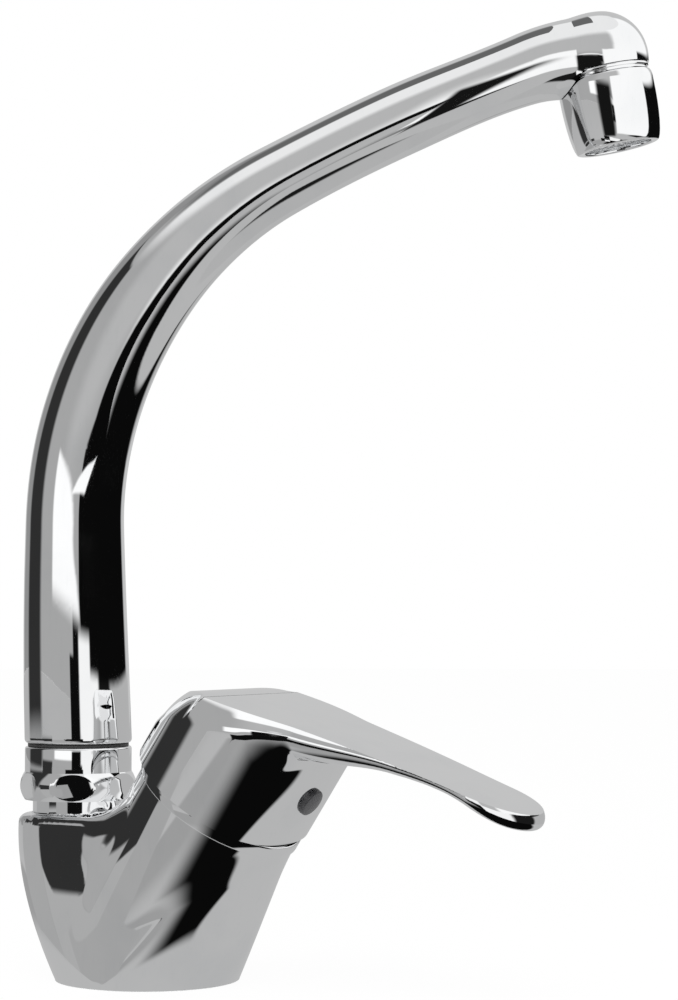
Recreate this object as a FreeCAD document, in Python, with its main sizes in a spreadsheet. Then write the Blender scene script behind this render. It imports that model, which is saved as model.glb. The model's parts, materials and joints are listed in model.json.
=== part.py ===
"""Single-handle kitchen faucet: a parametric document of its separate pieces.

Frame: origin at the centre of the base underside, +X to the front where the lever points,
+Y to the left, +Z up. Lengths are millimetres, angles degrees.
"""
import FreeCAD, Part
import Sketcher
import math
import os
from FreeCAD import Placement, Rotation, Vector

# Driving dimensions: alias, value, meaning
DRIVING = [
    # Cast body
    ("base_radius", 25.5, "radius of the round base"),
    ("base_straight", 0.6, "half length of the straight sides of the base outline"),
    ("flat_height", 44.7, "height of the flat rear pedestal"),
    ("flat_edge_round", 1.6, "rounding of the pedestal's edge"),
    ("spout_back", 24.2, "spout axis behind the base centre"),
    ("pedestal_radius", 16.5, "rear end radius of the pedestal"),
    ("nose_reach", 47.0, "front reach of the taper, carried up to the pedestal's height"),
    ("nose_radius", 20.0, "front end radius of the taper at the pedestal's height"),
    ("low_share", 0.27, "lower waist section as a share of the pedestal's height"),
    ("low_rear_swell", 2.8, "rear swell of the lower waist beyond a straight taper"),
    ("low_rear_tuck", 0.7, "rear radius tuck of the lower waist"),
    ("high_share", 0.62, "upper waist section as a share of the pedestal's height"),
    ("high_rear_swell", 4.0, "rear swell of the upper waist beyond a straight taper"),
    ("high_rear_tuck", 1.6, "rear radius tuck of the upper waist"),
    ("neck_tilt", 34.0, "forward lean of the neck and cartridge axis"),
    ("neck_foot_back", 9.1, "where the neck axis meets the base plane, behind the base centre"),
    ("neck_radius", 23.4, "outer radius of the neck"),
    ("neck_start", 10.0, "start of the neck cylinder along its axis"),
    ("neck_top", 58.7, "rim of the neck along its axis"),
    ("boss_radius", 12.7, "threaded boss that carries the spout nut"),
    ("boss_top", 56.8, "height of the boss rim"),
    ("socket_bottom", 29.0, "floor of the spout socket"),
    # Deck side
    ("stud_hole_radius", 3.4, "tapping radius of the M8 fixing stud hole"),
    ("stud_hole_depth", 14.0, "depth of the fixing stud hole"),
    ("inlet_forward", 6.0, "hose inlets in front of the base centre"),
    ("inlet_side", 10.0, "hose inlets to each side of the centre plane"),
    ("inlet_radius", 4.5, "tapping radius of the M10 x 1 hose inlets"),
    ("inlet_depth", 12.0, "depth of the hose inlets"),
    ("seal_inner", 19.6, "inner radius of the base seal"),
    ("seal_outer", 22.9, "outer radius of the base seal"),
    ("seal_thickness", 1.9, "thickness of the base seal"),
    # Cartridge
    ("chamber_radius", 17.6, "bore of the cartridge chamber"),
    ("chamber_floor", 27.0, "chamber floor along the neck axis"),
    ("cartridge_radius", 17.4, "outer radius of the cartridge"),
    ("cartridge_base_height", 7.0, "height of the cartridge base"),
    ("port_radius", 3.2, "water ports of the cartridge"),
    ("outlet_back", 9.0, "outlet port behind the cartridge axis"),
    ("port_seal_width", 1.5, "radial width of a port seal"),
    ("port_seal_height", 1.4, "height of a port seal"),
    ("disc_height", 4.0, "thickness of a ceramic disc"),
    ("fixed_disc_radius", 15.6, "radius of the fixed disc"),
    ("moving_disc_radius", 10.5, "radius of the moving disc and its carrier"),
    ("moving_disc_back", 2.5, "moving disc behind the axis when shut"),
    ("mixing_radius", 7.0, "mixing hollow under the moving disc"),
    ("mixing_depth", 2.0, "depth of the mixing hollow"),
    ("carrier_height", 5.0, "height of the disc carrier"),
    ("carrier_play", 0.3, "play between the disc carrier and the turret"),
    ("housing_wall", 1.2, "wall of the cartridge housing"),
    ("turret_flange_radius", 15.8, "flange that keeps the turret under the housing roof"),
    ("turret_flange_height", 2.6, "height of the turret flange"),
    ("turret_radius", 12.0, "radius of the turret"),
    ("turret_rise", 5.6, "top of the turret above the lift pivot"),
    ("roof_height", 3.3, "thickness of the housing roof"),
    ("nut_bore_radius", 20.0, "threaded bore in the neck for the cartridge nut"),
    ("cartridge_nut_inner", 14.2, "bore of the cartridge nut"),
    ("collar_height", 2.0, "nut collar above the neck rim"),
    ("turret_ring_radius", 0.9, "section radius of the turret's rubber ring"),
    # Lever stem
    ("pivot_rise", 10.0, "lift pivot above the disc carrier"),
    ("pin_radius", 2.0, "radius of the pivot pin"),
    ("pin_length", 22.0, "length of the pivot pin"),
    ("stem_width", 6.0, "stem across the lift plane"),
    ("stem_depth", 7.0, "stem along the pivot pin"),
    ("stem_floor_gap", 0.5, "gap between the stem and the floor of its pocket"),
    ("stem_above", 26.0, "stem length above the pivot"),
    ("slot_rear", 6.4, "turret slot behind the axis"),
    ("slot_front", 8.3, "turret slot in front of the axis"),
    ("slot_play", 0.35, "side play of the stem in the turret slot"),
    ("pocket_half", 3.8, "half width of the carrier's stem pocket"),
    ("pocket_depth", 3.5, "depth of the carrier's stem pocket"),
    # Trim ring and handle
    ("trim_radius", 24.0, "outer radius of the trim ring"),
    ("trim_height", 3.3, "height of the trim ring"),
    ("trim_chamfer", 0.3, "chamfer of the trim ring's upper edge"),
    ("skirt_gap", 0.3, "gap between trim ring and skirt"),
    ("cap_radius", 26.2, "outer radius of the handle cap"),
    ("skirt_wall", 1.9, "wall of the handle skirt"),
    ("cavity_height", 13.0, "hollow under the cap, above the skirt edge"),
    ("chin_reach", 24.4, "flat chin in front of the neck axis"),
    ("chin_wall", 5.0, "thickness of the chin's wall"),
    ("chin_corner", 8.0, "rounding of the chin's corners"),
    ("cap_crown", 9.3, "top of the cap's rear above the roof of its hollow"),
    ("cap_rear_round", 24.0, "rounding of the handle's top into the cap's back"),
    ("cap_rear_forward", 13.0, "place of that height in front of the base centre"),
    ("lever_mid_forward", 66.0, "place of the lever's middle height"),
    ("lever_mid_drop", 15.4, "drop of the lever's top at its middle"),
    ("lever_tip_forward", 120.8, "tip of the lever in front of the base centre"),
    ("lever_tip_drop", 34.8, "drop of the lever's top at its tip"),
    ("lever_tip_round", 4.7, "length of the lever's rolled tip"),
    ("lever_waist_share", 0.42, "waist of the lever as a share of its free length"),
    ("lever_thin_share", 0.68, "thinnest place of the lever as a share of its free length"),
    ("lever_flare_share", 0.56, "narrowing of the lever half way to its waist"),
    ("lever_root_half", 25.6, "half width of the lever at the cap"),
    ("lever_waist_half", 16.0, "half width of the lever behind its waist"),
    ("lever_end_half", 14.0, "half width of the lever at its tip"),
    ("lever_root_depth", 7.8, "depth of the lever under the cap's front"),
    ("lever_waist_depth", 2.6, "depth of the lever behind its waist"),
    ("lever_thin_depth", 1.9, "depth of the lever at its thinnest"),
    ("lever_tip_depth", 4.6, "depth of the lever's rolled tip"),
    ("plug_rise", 19.6, "index plug above the lift pivot"),
    ("plug_radius", 3.9, "radius of the index plug"),
    ("plug_depth", 3.0, "depth of the index plug"),
    ("plug_crown", 0.6, "chamfer of the index plug"),
    ("screw_radius", 2.4, "radius of the M5 grub screw"),
    ("screw_length", 8.0, "length of the grub screw"),
    ("screw_key", 1.25, "half width across flats of the screw's key hole"),
    # Spout and its nut
    ("spout_turn", 42.0, "swivel of the spout from the front, towards the left"),
    ("nut_bottom", 48.6, "underside of the spout nut"),
    ("bead_height", 7.8, "height of the nut's bead"),
    ("nut_top", 63.4, "top of the spout nut"),
    ("nut_radius", 15.0, "radius of the nut's plain part"),
    ("bead_radius", 16.3, "largest radius of the nut's bead"),
    ("nut_flats", 30.3, "width across the nut's wrench flats"),
    ("nut_turn", 1.0, "turn of the wrench flats from square with the tap"),
    ("nut_chamfer", 0.6, "chamfer of the nut's upper edge"),
    ("nut_thread_top", 60.0, "underside of the nut's lip"),
    ("washer_height", 0.8, "slip washer between nut and spout"),
    ("spigot_radius", 9.5, "radius of the spout's spigot"),
    ("spigot_bottom", 33.0, "lower end of the spigot"),
    ("spigot_bore", 6.3, "water way through the spigot"),
    ("ring_groove", 7.9, "bottom radius of the seal grooves"),
    ("ring_section", 0.8, "section radius of the spout's rubber rings"),
    ("lower_ring", 37.5, "height of the lower rubber ring"),
    ("upper_ring", 43.3, "height of the upper rubber ring"),
    ("clip_groove", 8.2, "bottom radius of the retaining ring's groove"),
    ("clip_outer", 12.2, "outer radius of the retaining ring"),
    ("clip_height", 2.2, "height of the retaining ring"),
    ("clip_play", 0.2, "height play of the retaining ring in its groove"),
    ("clip_opening", 5.0, "gap of the split retaining ring"),
    ("spout_foot_radius", 15.1, "spout radius at its foot"),
    ("spout_foot_round", 1.2, "rounding of the spout's foot"),
    ("spout_bend_radius", 13.9, "spout radius where the bend starts"),
    ("spout_mid_radius", 13.0, "spout radius in the middle of the bend"),
    ("spout_arm_radius", 10.6, "spout radius where the arm starts"),
    ("spout_end_radius", 10.5, "spout radius where the arm meets the head"),
    ("spout_head_swell", 13.2, "spout radius where the arm runs out inside the head"),
    ("spout_wall", 2.6, "wall of the spout"),
    ("spout_lean", 1.3, "backward lean of the spout below its bend"),
    ("bend_start", 125.5, "height where the bend starts"),
    ("bend_size", 116.0, "radius of the main bend"),
    ("bend_angle", 60.0, "turn of the main bend"),
    ("arm_size", 560.0, "radius of the arm's slight arch"),
    ("arm_angle", 8.5, "turn of the arm's slight arch"),
    ("head_ahead", 22.92, "head centre beyond the end of the arm"),
    ("head_drop", 4.84, "head centre below the line of the arm's end"),
    ("head_radius", 13.8, "radius of the round head"),
    # Aerator
    ("aerator_tilt", 11.65, "outward tilt of the water jet"),
    ("seam_drop", 3.6, "aerator seam below the head centre, along its axis"),
    ("aerator_gap", 0.3, "gap between the head and the aerator housing"),
    ("nipple_radius", 11.0, "threaded nipple of the spout"),
    ("nipple_length", 7.0, "length of the nipple"),
    ("nipple_bore", 8.0, "water way through the nipple"),
    ("aerator_top_radius", 13.6, "radius of the bead at the aerator's top"),
    ("aerator_bead", 1.2, "height of that bead"),
    ("aerator_groove", 13.0, "radius of the groove under the bead"),
    ("aerator_groove_height", 0.6, "height of that groove"),
    ("aerator_radius", 14.25, "largest radius of the aerator housing"),
    ("aerator_shoulder", 3.2, "where the housing is largest"),
    ("aerator_straight_share", 0.45, "where the housing starts to narrow, as a share of its length"),
    ("aerator_end_radius", 12.3, "radius of the housing at its outlet"),
    ("aerator_end_swell", 0.9, "extra radius of the housing above its outlet"),
    ("aerator_length", 23.2, "length of the aerator housing"),
    ("aerator_bore", 10.8, "inside radius of the aerator housing below its thread"),
    ("aerator_lip", 10.0, "inside radius of the retaining lip"),
    ("lip_height", 1.8, "height of the retaining lip"),
    ("gasket_height", 1.5, "thickness of the aerator gasket"),
    ("strainer_height", 2.0, "thickness of the strainer"),
    ("jet_height", 6.0, "height of the jet disc"),
    ("strainer_circle", 0.6, "circle of the strainer holes as a share of the insert's radius"),
    ("jet_circle", 0.5, "circle of the jet holes as a share of the insert's radius"),
    ("insert_wall", 1.4, "outer wall of the outlet grid"),
    ("grid_hub", 3.0, "hub of the outlet grid"),
    ("grid_fin", 0.9, "thickness of a grid fin"),
    ("strainer_hole", 0.9, "radius of a strainer hole"),
    ("jet_hole", 0.8, "radius of a jet hole"),
    # Clearances
    ("running_clearance", 0.05, "radial clearance of a turning fit"),
    ("seat_clearance", 0.05, "clearance of a piece that is seated and clamped"),
    ("thread_clearance", 0.05, "radial clearance drawn for a thread"),
]

STRAINER_HOLES = 16
JET_HOLES = 12
GRID_FINS = 24
NUT_SIDES = 6
# Sections along the spout: below the bend, round the bend and along the arm
FOOT_STEPS = 4
BEND_STEPS = 8
ARM_STEPS = 4
# How the spout narrows above its foot: a power of the way up
FOOT_TAPER = 1.5
# How far a tool or a joined piece runs past the face it goes through
OVERCUT = 1.0
# How near an edge has to be to a level to lie on it
ON_LEVEL = 0.01


class Size:
    """A length that knows its number and the sheet expression that gives it."""

    def __init__(self, value, text):
        self.value = value
        self.text = text

    @staticmethod
    def of(number):
        """Wrap a plain number; a Size passes through."""
        if isinstance(number, Size):
            return number
        return Size(float(number), repr(float(number)))

    def join(self, other, sign, value):
        """Combine two sizes under one sign."""
        return Size(value, "(" + self.text + " " + sign + " " + Size.of(other).text + ")")

    def __add__(self, other):
        return self.join(other, "+", self.value + Size.of(other).value)

    def __sub__(self, other):
        return self.join(other, "-", self.value - Size.of(other).value)

    def __mul__(self, other):
        return self.join(other, "*", self.value * Size.of(other).value)

    def __truediv__(self, other):
        return self.join(other, "/", self.value / Size.of(other).value)

    def __neg__(self):
        return Size(-self.value, "(0 - " + self.text + ")")


class Sizes:
    """The driving dimensions as attributes, each a Size bound to the sheet."""

    def __init__(self, sheet_name, rows):
        for alias, value, _ in rows:
            setattr(self, alias, Size(value, sheet_name + "." + alias))


doc = FreeCAD.newDocument("KitchenFaucet")
sheet = doc.addObject("Spreadsheet::Sheet", "Dimensions")
for row, (alias, value, meaning) in enumerate(DRIVING, start=1):
    sheet.set("A%d" % row, meaning)
    sheet.set("B%d" % row, repr(value))
    sheet.setAlias("B%d" % row, alias)
doc.recompute()
size = Sizes("Dimensions", [(alias, float(sheet.get(alias)), meaning) for alias, _, meaning in DRIVING])

nodes = []


def node(shape_object, name, placement=None):
    """Name a finished piece, place it and list it for export."""
    shape_object.Label = name
    if placement is not None:
        shape_object.Placement = placement
    nodes.append(shape_object)
    return shape_object


def bind(target, **lengths):
    """Bind properties of an object to sheet expressions."""
    for name, length in lengths.items():
        target.setExpression(name, Size.of(length).text)
    return target


def origin_plane(body, role):
    """The origin plane of a body with the given role."""
    return [feature for feature in body.Origin.OriginFeatures if feature.Role == role][0]


def profile_sketch(body, name, role, points):
    """A closed polygon sketch whose (across, up) corners are bound to the sheet."""
    sketch = body.newObject("Sketcher::SketchObject", name)
    sketch.AttachmentSupport = (origin_plane(body, role), [""])
    sketch.MapMode = "FlatFace"
    corners = [(Size.of(across), Size.of(up)) for across, up in points]
    count = len(corners)
    for index in range(count):
        here = corners[index]
        ahead = corners[(index + 1) % count]
        sketch.addGeometry(
            Part.LineSegment(
                Vector(here[0].value, here[1].value, 0),
                Vector(ahead[0].value, ahead[1].value, 0),
            ),
            False,
        )
    for index in range(count):
        sketch.addConstraint(Sketcher.Constraint("Coincident", index, 2, (index + 1) % count, 1))
    for index, (across, up) in enumerate(corners):
        for kind, length in (("DistanceX", across), ("DistanceY", up)):
            number = sketch.addConstraint(Sketcher.Constraint(kind, -1, 1, index, 1, length.value))
            sketch.setExpression("Constraints[%d]" % number, length.text)
    return sketch


def turned(name, points):
    """A body of revolution about its own Z axis from (radius, height) corners."""
    body = doc.addObject("PartDesign::Body", name + "_body")
    sketch = profile_sketch(body, name + "_profile", "XZ_Plane", points)
    revolution = body.newObject("PartDesign::Revolution", name + "_turning")
    revolution.Profile = sketch
    revolution.ReferenceAxis = (sketch, ["V_Axis"])
    revolution.Angle = 360
    body.Tip = revolution
    return body


def cylinder(name, radius, height, x=0, y=0, z=0, lay=None):
    """A bound cylinder at (x, y, z); lay is the rotation that lays its axis over."""
    shape = doc.addObject("Part::Cylinder", name)
    bind(shape, Radius=radius, Height=height)
    if lay is not None:
        shape.Placement.Rotation = lay
    shape.setExpression("Placement.Base.x", Size.of(x).text)
    shape.setExpression("Placement.Base.y", Size.of(y).text)
    shape.setExpression("Placement.Base.z", Size.of(z).text)
    return shape


def block(name, length, width, height, x, y, z):
    """A bound box whose lowest corner is at (x, y, z)."""
    shape = doc.addObject("Part::Box", name)
    bind(shape, Length=length, Width=width, Height=height)
    shape.setExpression("Placement.Base.x", Size.of(x).text)
    shape.setExpression("Placement.Base.y", Size.of(y).text)
    shape.setExpression("Placement.Base.z", Size.of(z).text)
    return shape


def torus(name, ring_radius, section_radius, z):
    """A bound rubber ring at height z."""
    shape = doc.addObject("Part::Torus", name)
    bind(shape, Radius1=ring_radius, Radius2=section_radius)
    shape.setExpression("Placement.Base.z", Size.of(z).text)
    return shape


def cut(name, base, *tools):
    """Cut tools from a base, one after another."""
    for index, tool in enumerate(tools):
        result = doc.addObject("Part::Cut", "%s_cut_%d" % (name, index + 1))
        result.Base = base
        result.Tool = tool
        base = result
    return base


def group(name, *members):
    """Solids kept together in one node, to be placed as one."""
    compound = doc.addObject("Part::Compound", name + "_group")
    compound.Links = list(members)
    return compound


def coded(name, shape):
    """A piece whose shape is worked out from the sheet in code."""
    feature = doc.addObject("Part::Feature", name + "_shape")
    feature.Shape = shape
    return feature


# Frames: the neck axis, the spout's swivel and the aerator's axis
neck_frame = Placement(
    Vector(-size.neck_foot_back.value, 0, 0), Rotation(Vector(0, 1, 0), size.neck_tilt.value)
)
spout_frame = Placement(
    Vector(-size.spout_back.value, 0, 0), Rotation(Vector(0, 0, 1), size.spout_turn.value)
)
aerator_axis = Rotation(Vector(0, 1, 0), 180 - size.aerator_tilt.value)


def head_place():
    """Centre of the spout's head, found from the end of the arm."""
    turn = math.radians(size.bend_angle.value)
    end_turn = turn + math.radians(size.arm_angle.value)
    bend = size.bend_size.value
    arm = size.arm_size.value
    bend_reach = bend * (1 - math.cos(turn)) - size.spout_lean.value
    arm_reach = arm * (math.cos(turn) - math.cos(end_turn))
    bend_rise = size.bend_start.value + bend * math.sin(turn)
    arm_rise = arm * (math.sin(end_turn) - math.sin(turn))
    along = Vector(math.sin(end_turn), 0, math.cos(end_turn))
    below = Vector(math.cos(end_turn), 0, -math.sin(end_turn))
    arm_end = Vector(bend_reach + arm_reach, 0, bend_rise + arm_rise)
    return arm_end + along * size.head_ahead.value + below * size.head_drop.value


head_centre = head_place()
seam_centre = head_centre + aerator_axis.multVec(Vector(0, 0, size.seam_drop.value))
aerator_frame = spout_frame.multiply(Placement(seam_centre, aerator_axis))


def in_frame(frame, shape):
    """A copy of a shape moved from a local frame to the part's frame."""
    moved = shape.copy()
    moved.Placement = frame.multiply(moved.Placement)
    return moved


# Cast body


def body_section(height, rear_back, rear_radius, front_forward, front_radius):
    """A closed outline of two end arcs and the two sides that touch both."""
    lean = math.asin((front_radius - rear_radius) / (rear_back + front_forward))
    side = math.pi / 2 + lean

    def point(centre, radius, angle):
        return Vector(centre + radius * math.cos(angle), radius * math.sin(angle), height)

    edges = [
        Part.Arc(
            point(-rear_back, rear_radius, side),
            point(-rear_back, rear_radius, math.pi),
            point(-rear_back, rear_radius, -side),
        ).toShape()
    ]
    near_rear = point(-rear_back, rear_radius, -side)
    near_front = point(front_forward, front_radius, -side)
    far_rear = point(-rear_back, rear_radius, side)
    far_front = point(front_forward, front_radius, side)
    edges.append(Part.LineSegment(near_rear, near_front).toShape())
    edges.append(
        Part.Arc(near_front, point(front_forward, front_radius, 0), far_front).toShape()
    )
    edges.append(Part.LineSegment(far_front, far_rear).toShape())
    return Part.Wire(edges)


def mix(start, end, share):
    """The value at a share of the way from start to end."""
    return start + (end - start) * share


def body_casting_shape():
    """The tapered body, pedestal, boss and neck with their bores."""
    base = size.base_radius.value
    top = size.flat_height.value
    nose_centre = size.nose_reach.value - size.nose_radius.value
    straight = size.base_straight.value

    def waist(share, swell, tuck):
        rear_radius = mix(base, size.pedestal_radius.value, share) - tuck
        rear_back = mix(0, size.spout_back.value, share) + swell + tuck
        return body_section(
            top * share,
            rear_back,
            rear_radius,
            mix(0, nose_centre, share),
            mix(base, size.nose_radius.value, share),
        )

    sections = [
        body_section(0, straight, base - straight, straight, base - straight),
        waist(size.low_share.value, size.low_rear_swell.value, size.low_rear_tuck.value),
        waist(size.high_share.value, size.high_rear_swell.value, size.high_rear_tuck.value),
        body_section(
            top, size.spout_back.value, size.pedestal_radius.value, nose_centre, size.nose_radius.value
        ),
    ]
    taper = Part.makeLoft(sections, True, False)
    top_edges = [edge for edge in taper.Edges if edge.BoundBox.ZMin > top - ON_LEVEL]
    taper = taper.makeFillet(size.flat_edge_round.value, top_edges)
    reach = 4 * base
    above_neck = Part.makeBox(reach, reach, reach, Vector(0, -reach / 2, size.neck_top.value))
    taper = taper.cut(in_frame(neck_frame, above_neck))

    neck = Part.makeCylinder(
        size.neck_radius.value,
        size.neck_top.value - size.neck_start.value,
        Vector(0, 0, size.neck_start.value),
    )
    above_deck = Part.makeBox(reach, reach, reach, Vector(-reach / 2, -reach / 2, 0))
    neck = in_frame(neck_frame, neck).common(above_deck)
    boss = Part.makeCylinder(
        size.boss_radius.value,
        size.boss_top.value - top / 2,
        Vector(-size.spout_back.value, 0, top / 2),
    )
    solid = taper.fuse([neck, boss]).removeSplitter()

    chamber = Part.makeCylinder(
        size.chamber_radius.value,
        size.neck_top.value - size.chamber_floor.value + OVERCUT,
        Vector(0, 0, size.chamber_floor.value),
    )
    roof_top = cartridge_roof_top.value
    nut_bore = Part.makeCylinder(
        size.nut_bore_radius.value, size.neck_top.value - roof_top + OVERCUT, Vector(0, 0, roof_top)
    )
    socket = Part.makeCylinder(
        size.spigot_radius.value + size.running_clearance.value,
        size.boss_top.value - size.socket_bottom.value + OVERCUT,
        Vector(-size.spout_back.value, 0, size.socket_bottom.value),
    )
    stud_hole = Part.makeCylinder(size.stud_hole_radius.value, size.stud_hole_depth.value)
    groove = Part.makeCylinder(
        size.seal_outer.value + size.seat_clearance.value, size.seal_thickness.value
    ).cut(
        Part.makeCylinder(size.seal_inner.value - size.seat_clearance.value, size.seal_thickness.value)
    )
    cuts = [in_frame(neck_frame, chamber), in_frame(neck_frame, nut_bore), socket, stud_hole, groove]
    floor_centre = neck_frame.multVec(Vector(0, 0, size.chamber_floor.value))
    floor_slope = math.tan(math.radians(size.neck_tilt.value))
    passage_top = floor_centre.z - (size.inlet_forward.value - floor_centre.x) * floor_slope
    for side in (-1, 1):
        foot = Vector(size.inlet_forward.value, side * size.inlet_side.value, 0)
        cuts.append(Part.makeCylinder(size.inlet_radius.value, size.inlet_depth.value, foot))
        cuts.append(
            Part.makeCylinder(size.port_radius.value, passage_top + size.port_radius.value, foot)
        )
    outlet_start = neck_frame.multVec(
        Vector(-size.outlet_back.value, 0, size.chamber_floor.value + size.port_seal_height.value)
    )
    outlet_end = Vector(-size.spout_back.value, 0, size.socket_bottom.value + size.port_radius.value)
    outlet_way = outlet_end - outlet_start
    cuts.append(Part.makeCylinder(size.port_radius.value, outlet_way.Length, outlet_start, outlet_way))
    return solid.cut(cuts)


# Cartridge heights along the neck axis
cartridge_base_top = size.chamber_floor + size.cartridge_base_height
fixed_disc_top = cartridge_base_top + size.disc_height
moving_disc_top = fixed_disc_top + size.disc_height
carrier_top = moving_disc_top + size.carrier_height
flange_bottom = carrier_top + size.carrier_play
flange_top = flange_bottom + size.turret_flange_height
cartridge_roof_top = flange_top + size.seat_clearance + size.roof_height
pivot_height = carrier_top + size.pivot_rise
stem_below = size.pivot_rise + size.pocket_depth - size.stem_floor_gap
turret_top = pivot_height + size.turret_rise
plug_height = pivot_height + size.plug_rise
skirt_bottom = size.neck_top + size.trim_height + size.skirt_gap
port_places = [
    (Size.of(0), size.inlet_side),
    (Size.of(0), -size.inlet_side),
    (-size.outlet_back, Size.of(0)),
]

node(coded("body_casting", body_casting_shape()), "body_casting")

seal_body = turned(
    "base_seal_ring",
    [
        (size.seal_inner, 0),
        (size.seal_outer, 0),
        (size.seal_outer, size.seal_thickness),
        (size.seal_inner, size.seal_thickness),
    ],
)
node(seal_body, "base_seal_ring")


def ported(name, base, bottom, height):
    """Cut the three water ports through a cartridge piece."""
    tools = [
        cylinder("%s_port_%d" % (name, index), size.port_radius, height, x, y, bottom)
        for index, (x, y) in enumerate(port_places, start=1)
    ]
    return cut(name, base, *tools)


cartridge_floor_disc = cylinder(
    "cartridge_base_disc",
    size.cartridge_radius,
    size.cartridge_base_height,
    z=size.chamber_floor,
)
seal_outer_radius = size.port_radius + size.port_seal_width
seal_recesses = [
    cylinder(
        "seal_recess_%d" % index,
        seal_outer_radius + size.seat_clearance,
        size.port_seal_height,
        x,
        y,
        size.chamber_floor,
    )
    for index, (x, y) in enumerate(port_places, start=1)
]
recessed_base = cut("cartridge_base_recess", cartridge_floor_disc, *seal_recesses)
node(
    ported("cartridge_base", recessed_base, size.chamber_floor, size.cartridge_base_height),
    "cartridge_base",
    neck_frame,
)

port_seals = []
for index, (x, y) in enumerate(port_places, start=1):
    outer = cylinder(
        "port_seal_outer_%d" % index, seal_outer_radius, size.port_seal_height, x, y, size.chamber_floor
    )
    inner = cylinder(
        "port_seal_inner_%d" % index, size.port_radius, size.port_seal_height, x, y, size.chamber_floor
    )
    port_seals.append(cut("port_seal_%d" % index, outer, inner))
node(group("cartridge_seals", *port_seals), "cartridge_seals", neck_frame)

fixed_disc = cylinder(
    "fixed_disc_blank", size.fixed_disc_radius, size.disc_height, z=cartridge_base_top
)
node(
    ported("fixed_disc", fixed_disc, cartridge_base_top, size.disc_height),
    "fixed_ceramic_disc",
    neck_frame,
)

moving_disc = cylinder(
    "moving_disc_blank", size.moving_disc_radius, size.disc_height, x=-size.moving_disc_back, z=fixed_disc_top
)
mixing_hollow = cylinder(
    "mixing_hollow", size.mixing_radius, size.mixing_depth, x=-size.moving_disc_back, z=fixed_disc_top
)
node(cut("moving_disc", moving_disc, mixing_hollow), "moving_ceramic_disc", neck_frame)

carrier = cylinder(
    "carrier_blank", size.moving_disc_radius, size.carrier_height, x=-size.moving_disc_back, z=moving_disc_top
)
stem_pocket = block(
    "stem_pocket",
    size.pocket_half * 2,
    size.stem_depth + size.slot_play * 2,
    size.pocket_depth,
    -size.pocket_half,
    -(size.stem_depth / 2 + size.slot_play),
    carrier_top - size.pocket_depth,
)
node(cut("carrier", carrier, stem_pocket), "disc_carrier", neck_frame)

housing_inner = size.cartridge_radius - size.housing_wall
housing = turned(
    "cartridge_housing",
    [
        (housing_inner, cartridge_base_top),
        (size.cartridge_radius, cartridge_base_top),
        (size.cartridge_radius, cartridge_roof_top),
        (size.turret_radius + size.running_clearance, cartridge_roof_top),
        (size.turret_radius + size.running_clearance, flange_top + size.seat_clearance),
        (housing_inner, flange_top + size.seat_clearance),
    ],
)
node(housing, "cartridge_housing", neck_frame)

ring_groove_bottom = size.turret_radius - size.turret_ring_radius * 2 - size.seat_clearance
ring_middle = cartridge_roof_top - size.roof_height / 2
ring_half = size.turret_ring_radius + size.seat_clearance
turret = turned(
    "stem_turret",
    [
        (0, flange_bottom),
        (size.turret_flange_radius, flange_bottom),
        (size.turret_flange_radius, flange_top),
        (size.turret_radius, flange_top),
        (size.turret_radius, ring_middle - ring_half),
        (ring_groove_bottom, ring_middle - ring_half),
        (ring_groove_bottom, ring_middle + ring_half),
        (size.turret_radius, ring_middle + ring_half),
        (size.turret_radius, turret_top),
        (0, turret_top),
    ],
)
turret_slot = block(
    "turret_slot",
    size.slot_rear + size.slot_front,
    size.stem_depth + size.slot_play * 2,
    turret_top - flange_bottom,
    -size.slot_rear,
    -(size.stem_depth / 2 + size.slot_play),
    flange_bottom,
)
ACROSS = Rotation(Vector(1, 0, 0), -90)
pin_hole = cylinder(
    "turret_pin_hole",
    size.pin_radius + size.running_clearance,
    size.turret_radius * 2,
    y=-size.turret_radius,
    z=pivot_height,
    lay=ACROSS,
)
node(cut("turret", turret, turret_slot, pin_hole), "stem_turret", neck_frame)

turret_ring = torus(
    "turret_ring",
    size.turret_radius - size.turret_ring_radius,
    size.turret_ring_radius,
    ring_middle,
)
node(group("turret_o_ring", turret_ring), "turret_o_ring", neck_frame)

pivot_pin = cylinder(
    "pivot_pin",
    size.pin_radius,
    size.pin_length,
    y=-(size.pin_length / 2),
    z=pivot_height,
    lay=ACROSS,
)
node(group("stem_pivot_pin", pivot_pin), "stem_pivot_pin", neck_frame)

stem = block(
    "stem_bar",
    size.stem_width,
    size.stem_depth,
    stem_below + size.stem_above,
    -(size.stem_width / 2),
    -(size.stem_depth / 2),
    pivot_height - stem_below,
)
stem_hole = cylinder(
    "stem_pin_hole",
    size.pin_radius + size.running_clearance,
    size.stem_depth * 2,
    y=-size.stem_depth,
    z=pivot_height,
    lay=ACROSS,
)
node(cut("stem", stem, stem_hole), "lever_stem", neck_frame)

nut_outer = size.nut_bore_radius - size.thread_clearance
collar_top = size.neck_top + size.collar_height
cartridge_nut = turned(
    "cartridge_nut",
    [
        (size.cartridge_nut_inner, cartridge_roof_top),
        (nut_outer, cartridge_roof_top),
        (nut_outer, collar_top),
        (size.cartridge_nut_inner, collar_top),
    ],
)
node(cartridge_nut, "cartridge_nut", neck_frame)

trim_inner = size.nut_bore_radius + size.seat_clearance
trim_top = size.neck_top + size.trim_height
trim = turned(
    "trim_ring",
    [
        (trim_inner, size.neck_top),
        (size.trim_radius, size.neck_top),
        (size.trim_radius, trim_top - size.trim_chamfer),
        (size.trim_radius - size.trim_chamfer, trim_top),
        (trim_inner, trim_top),
    ],
)
node(trim, "trim_ring", neck_frame)


# Handle


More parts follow.
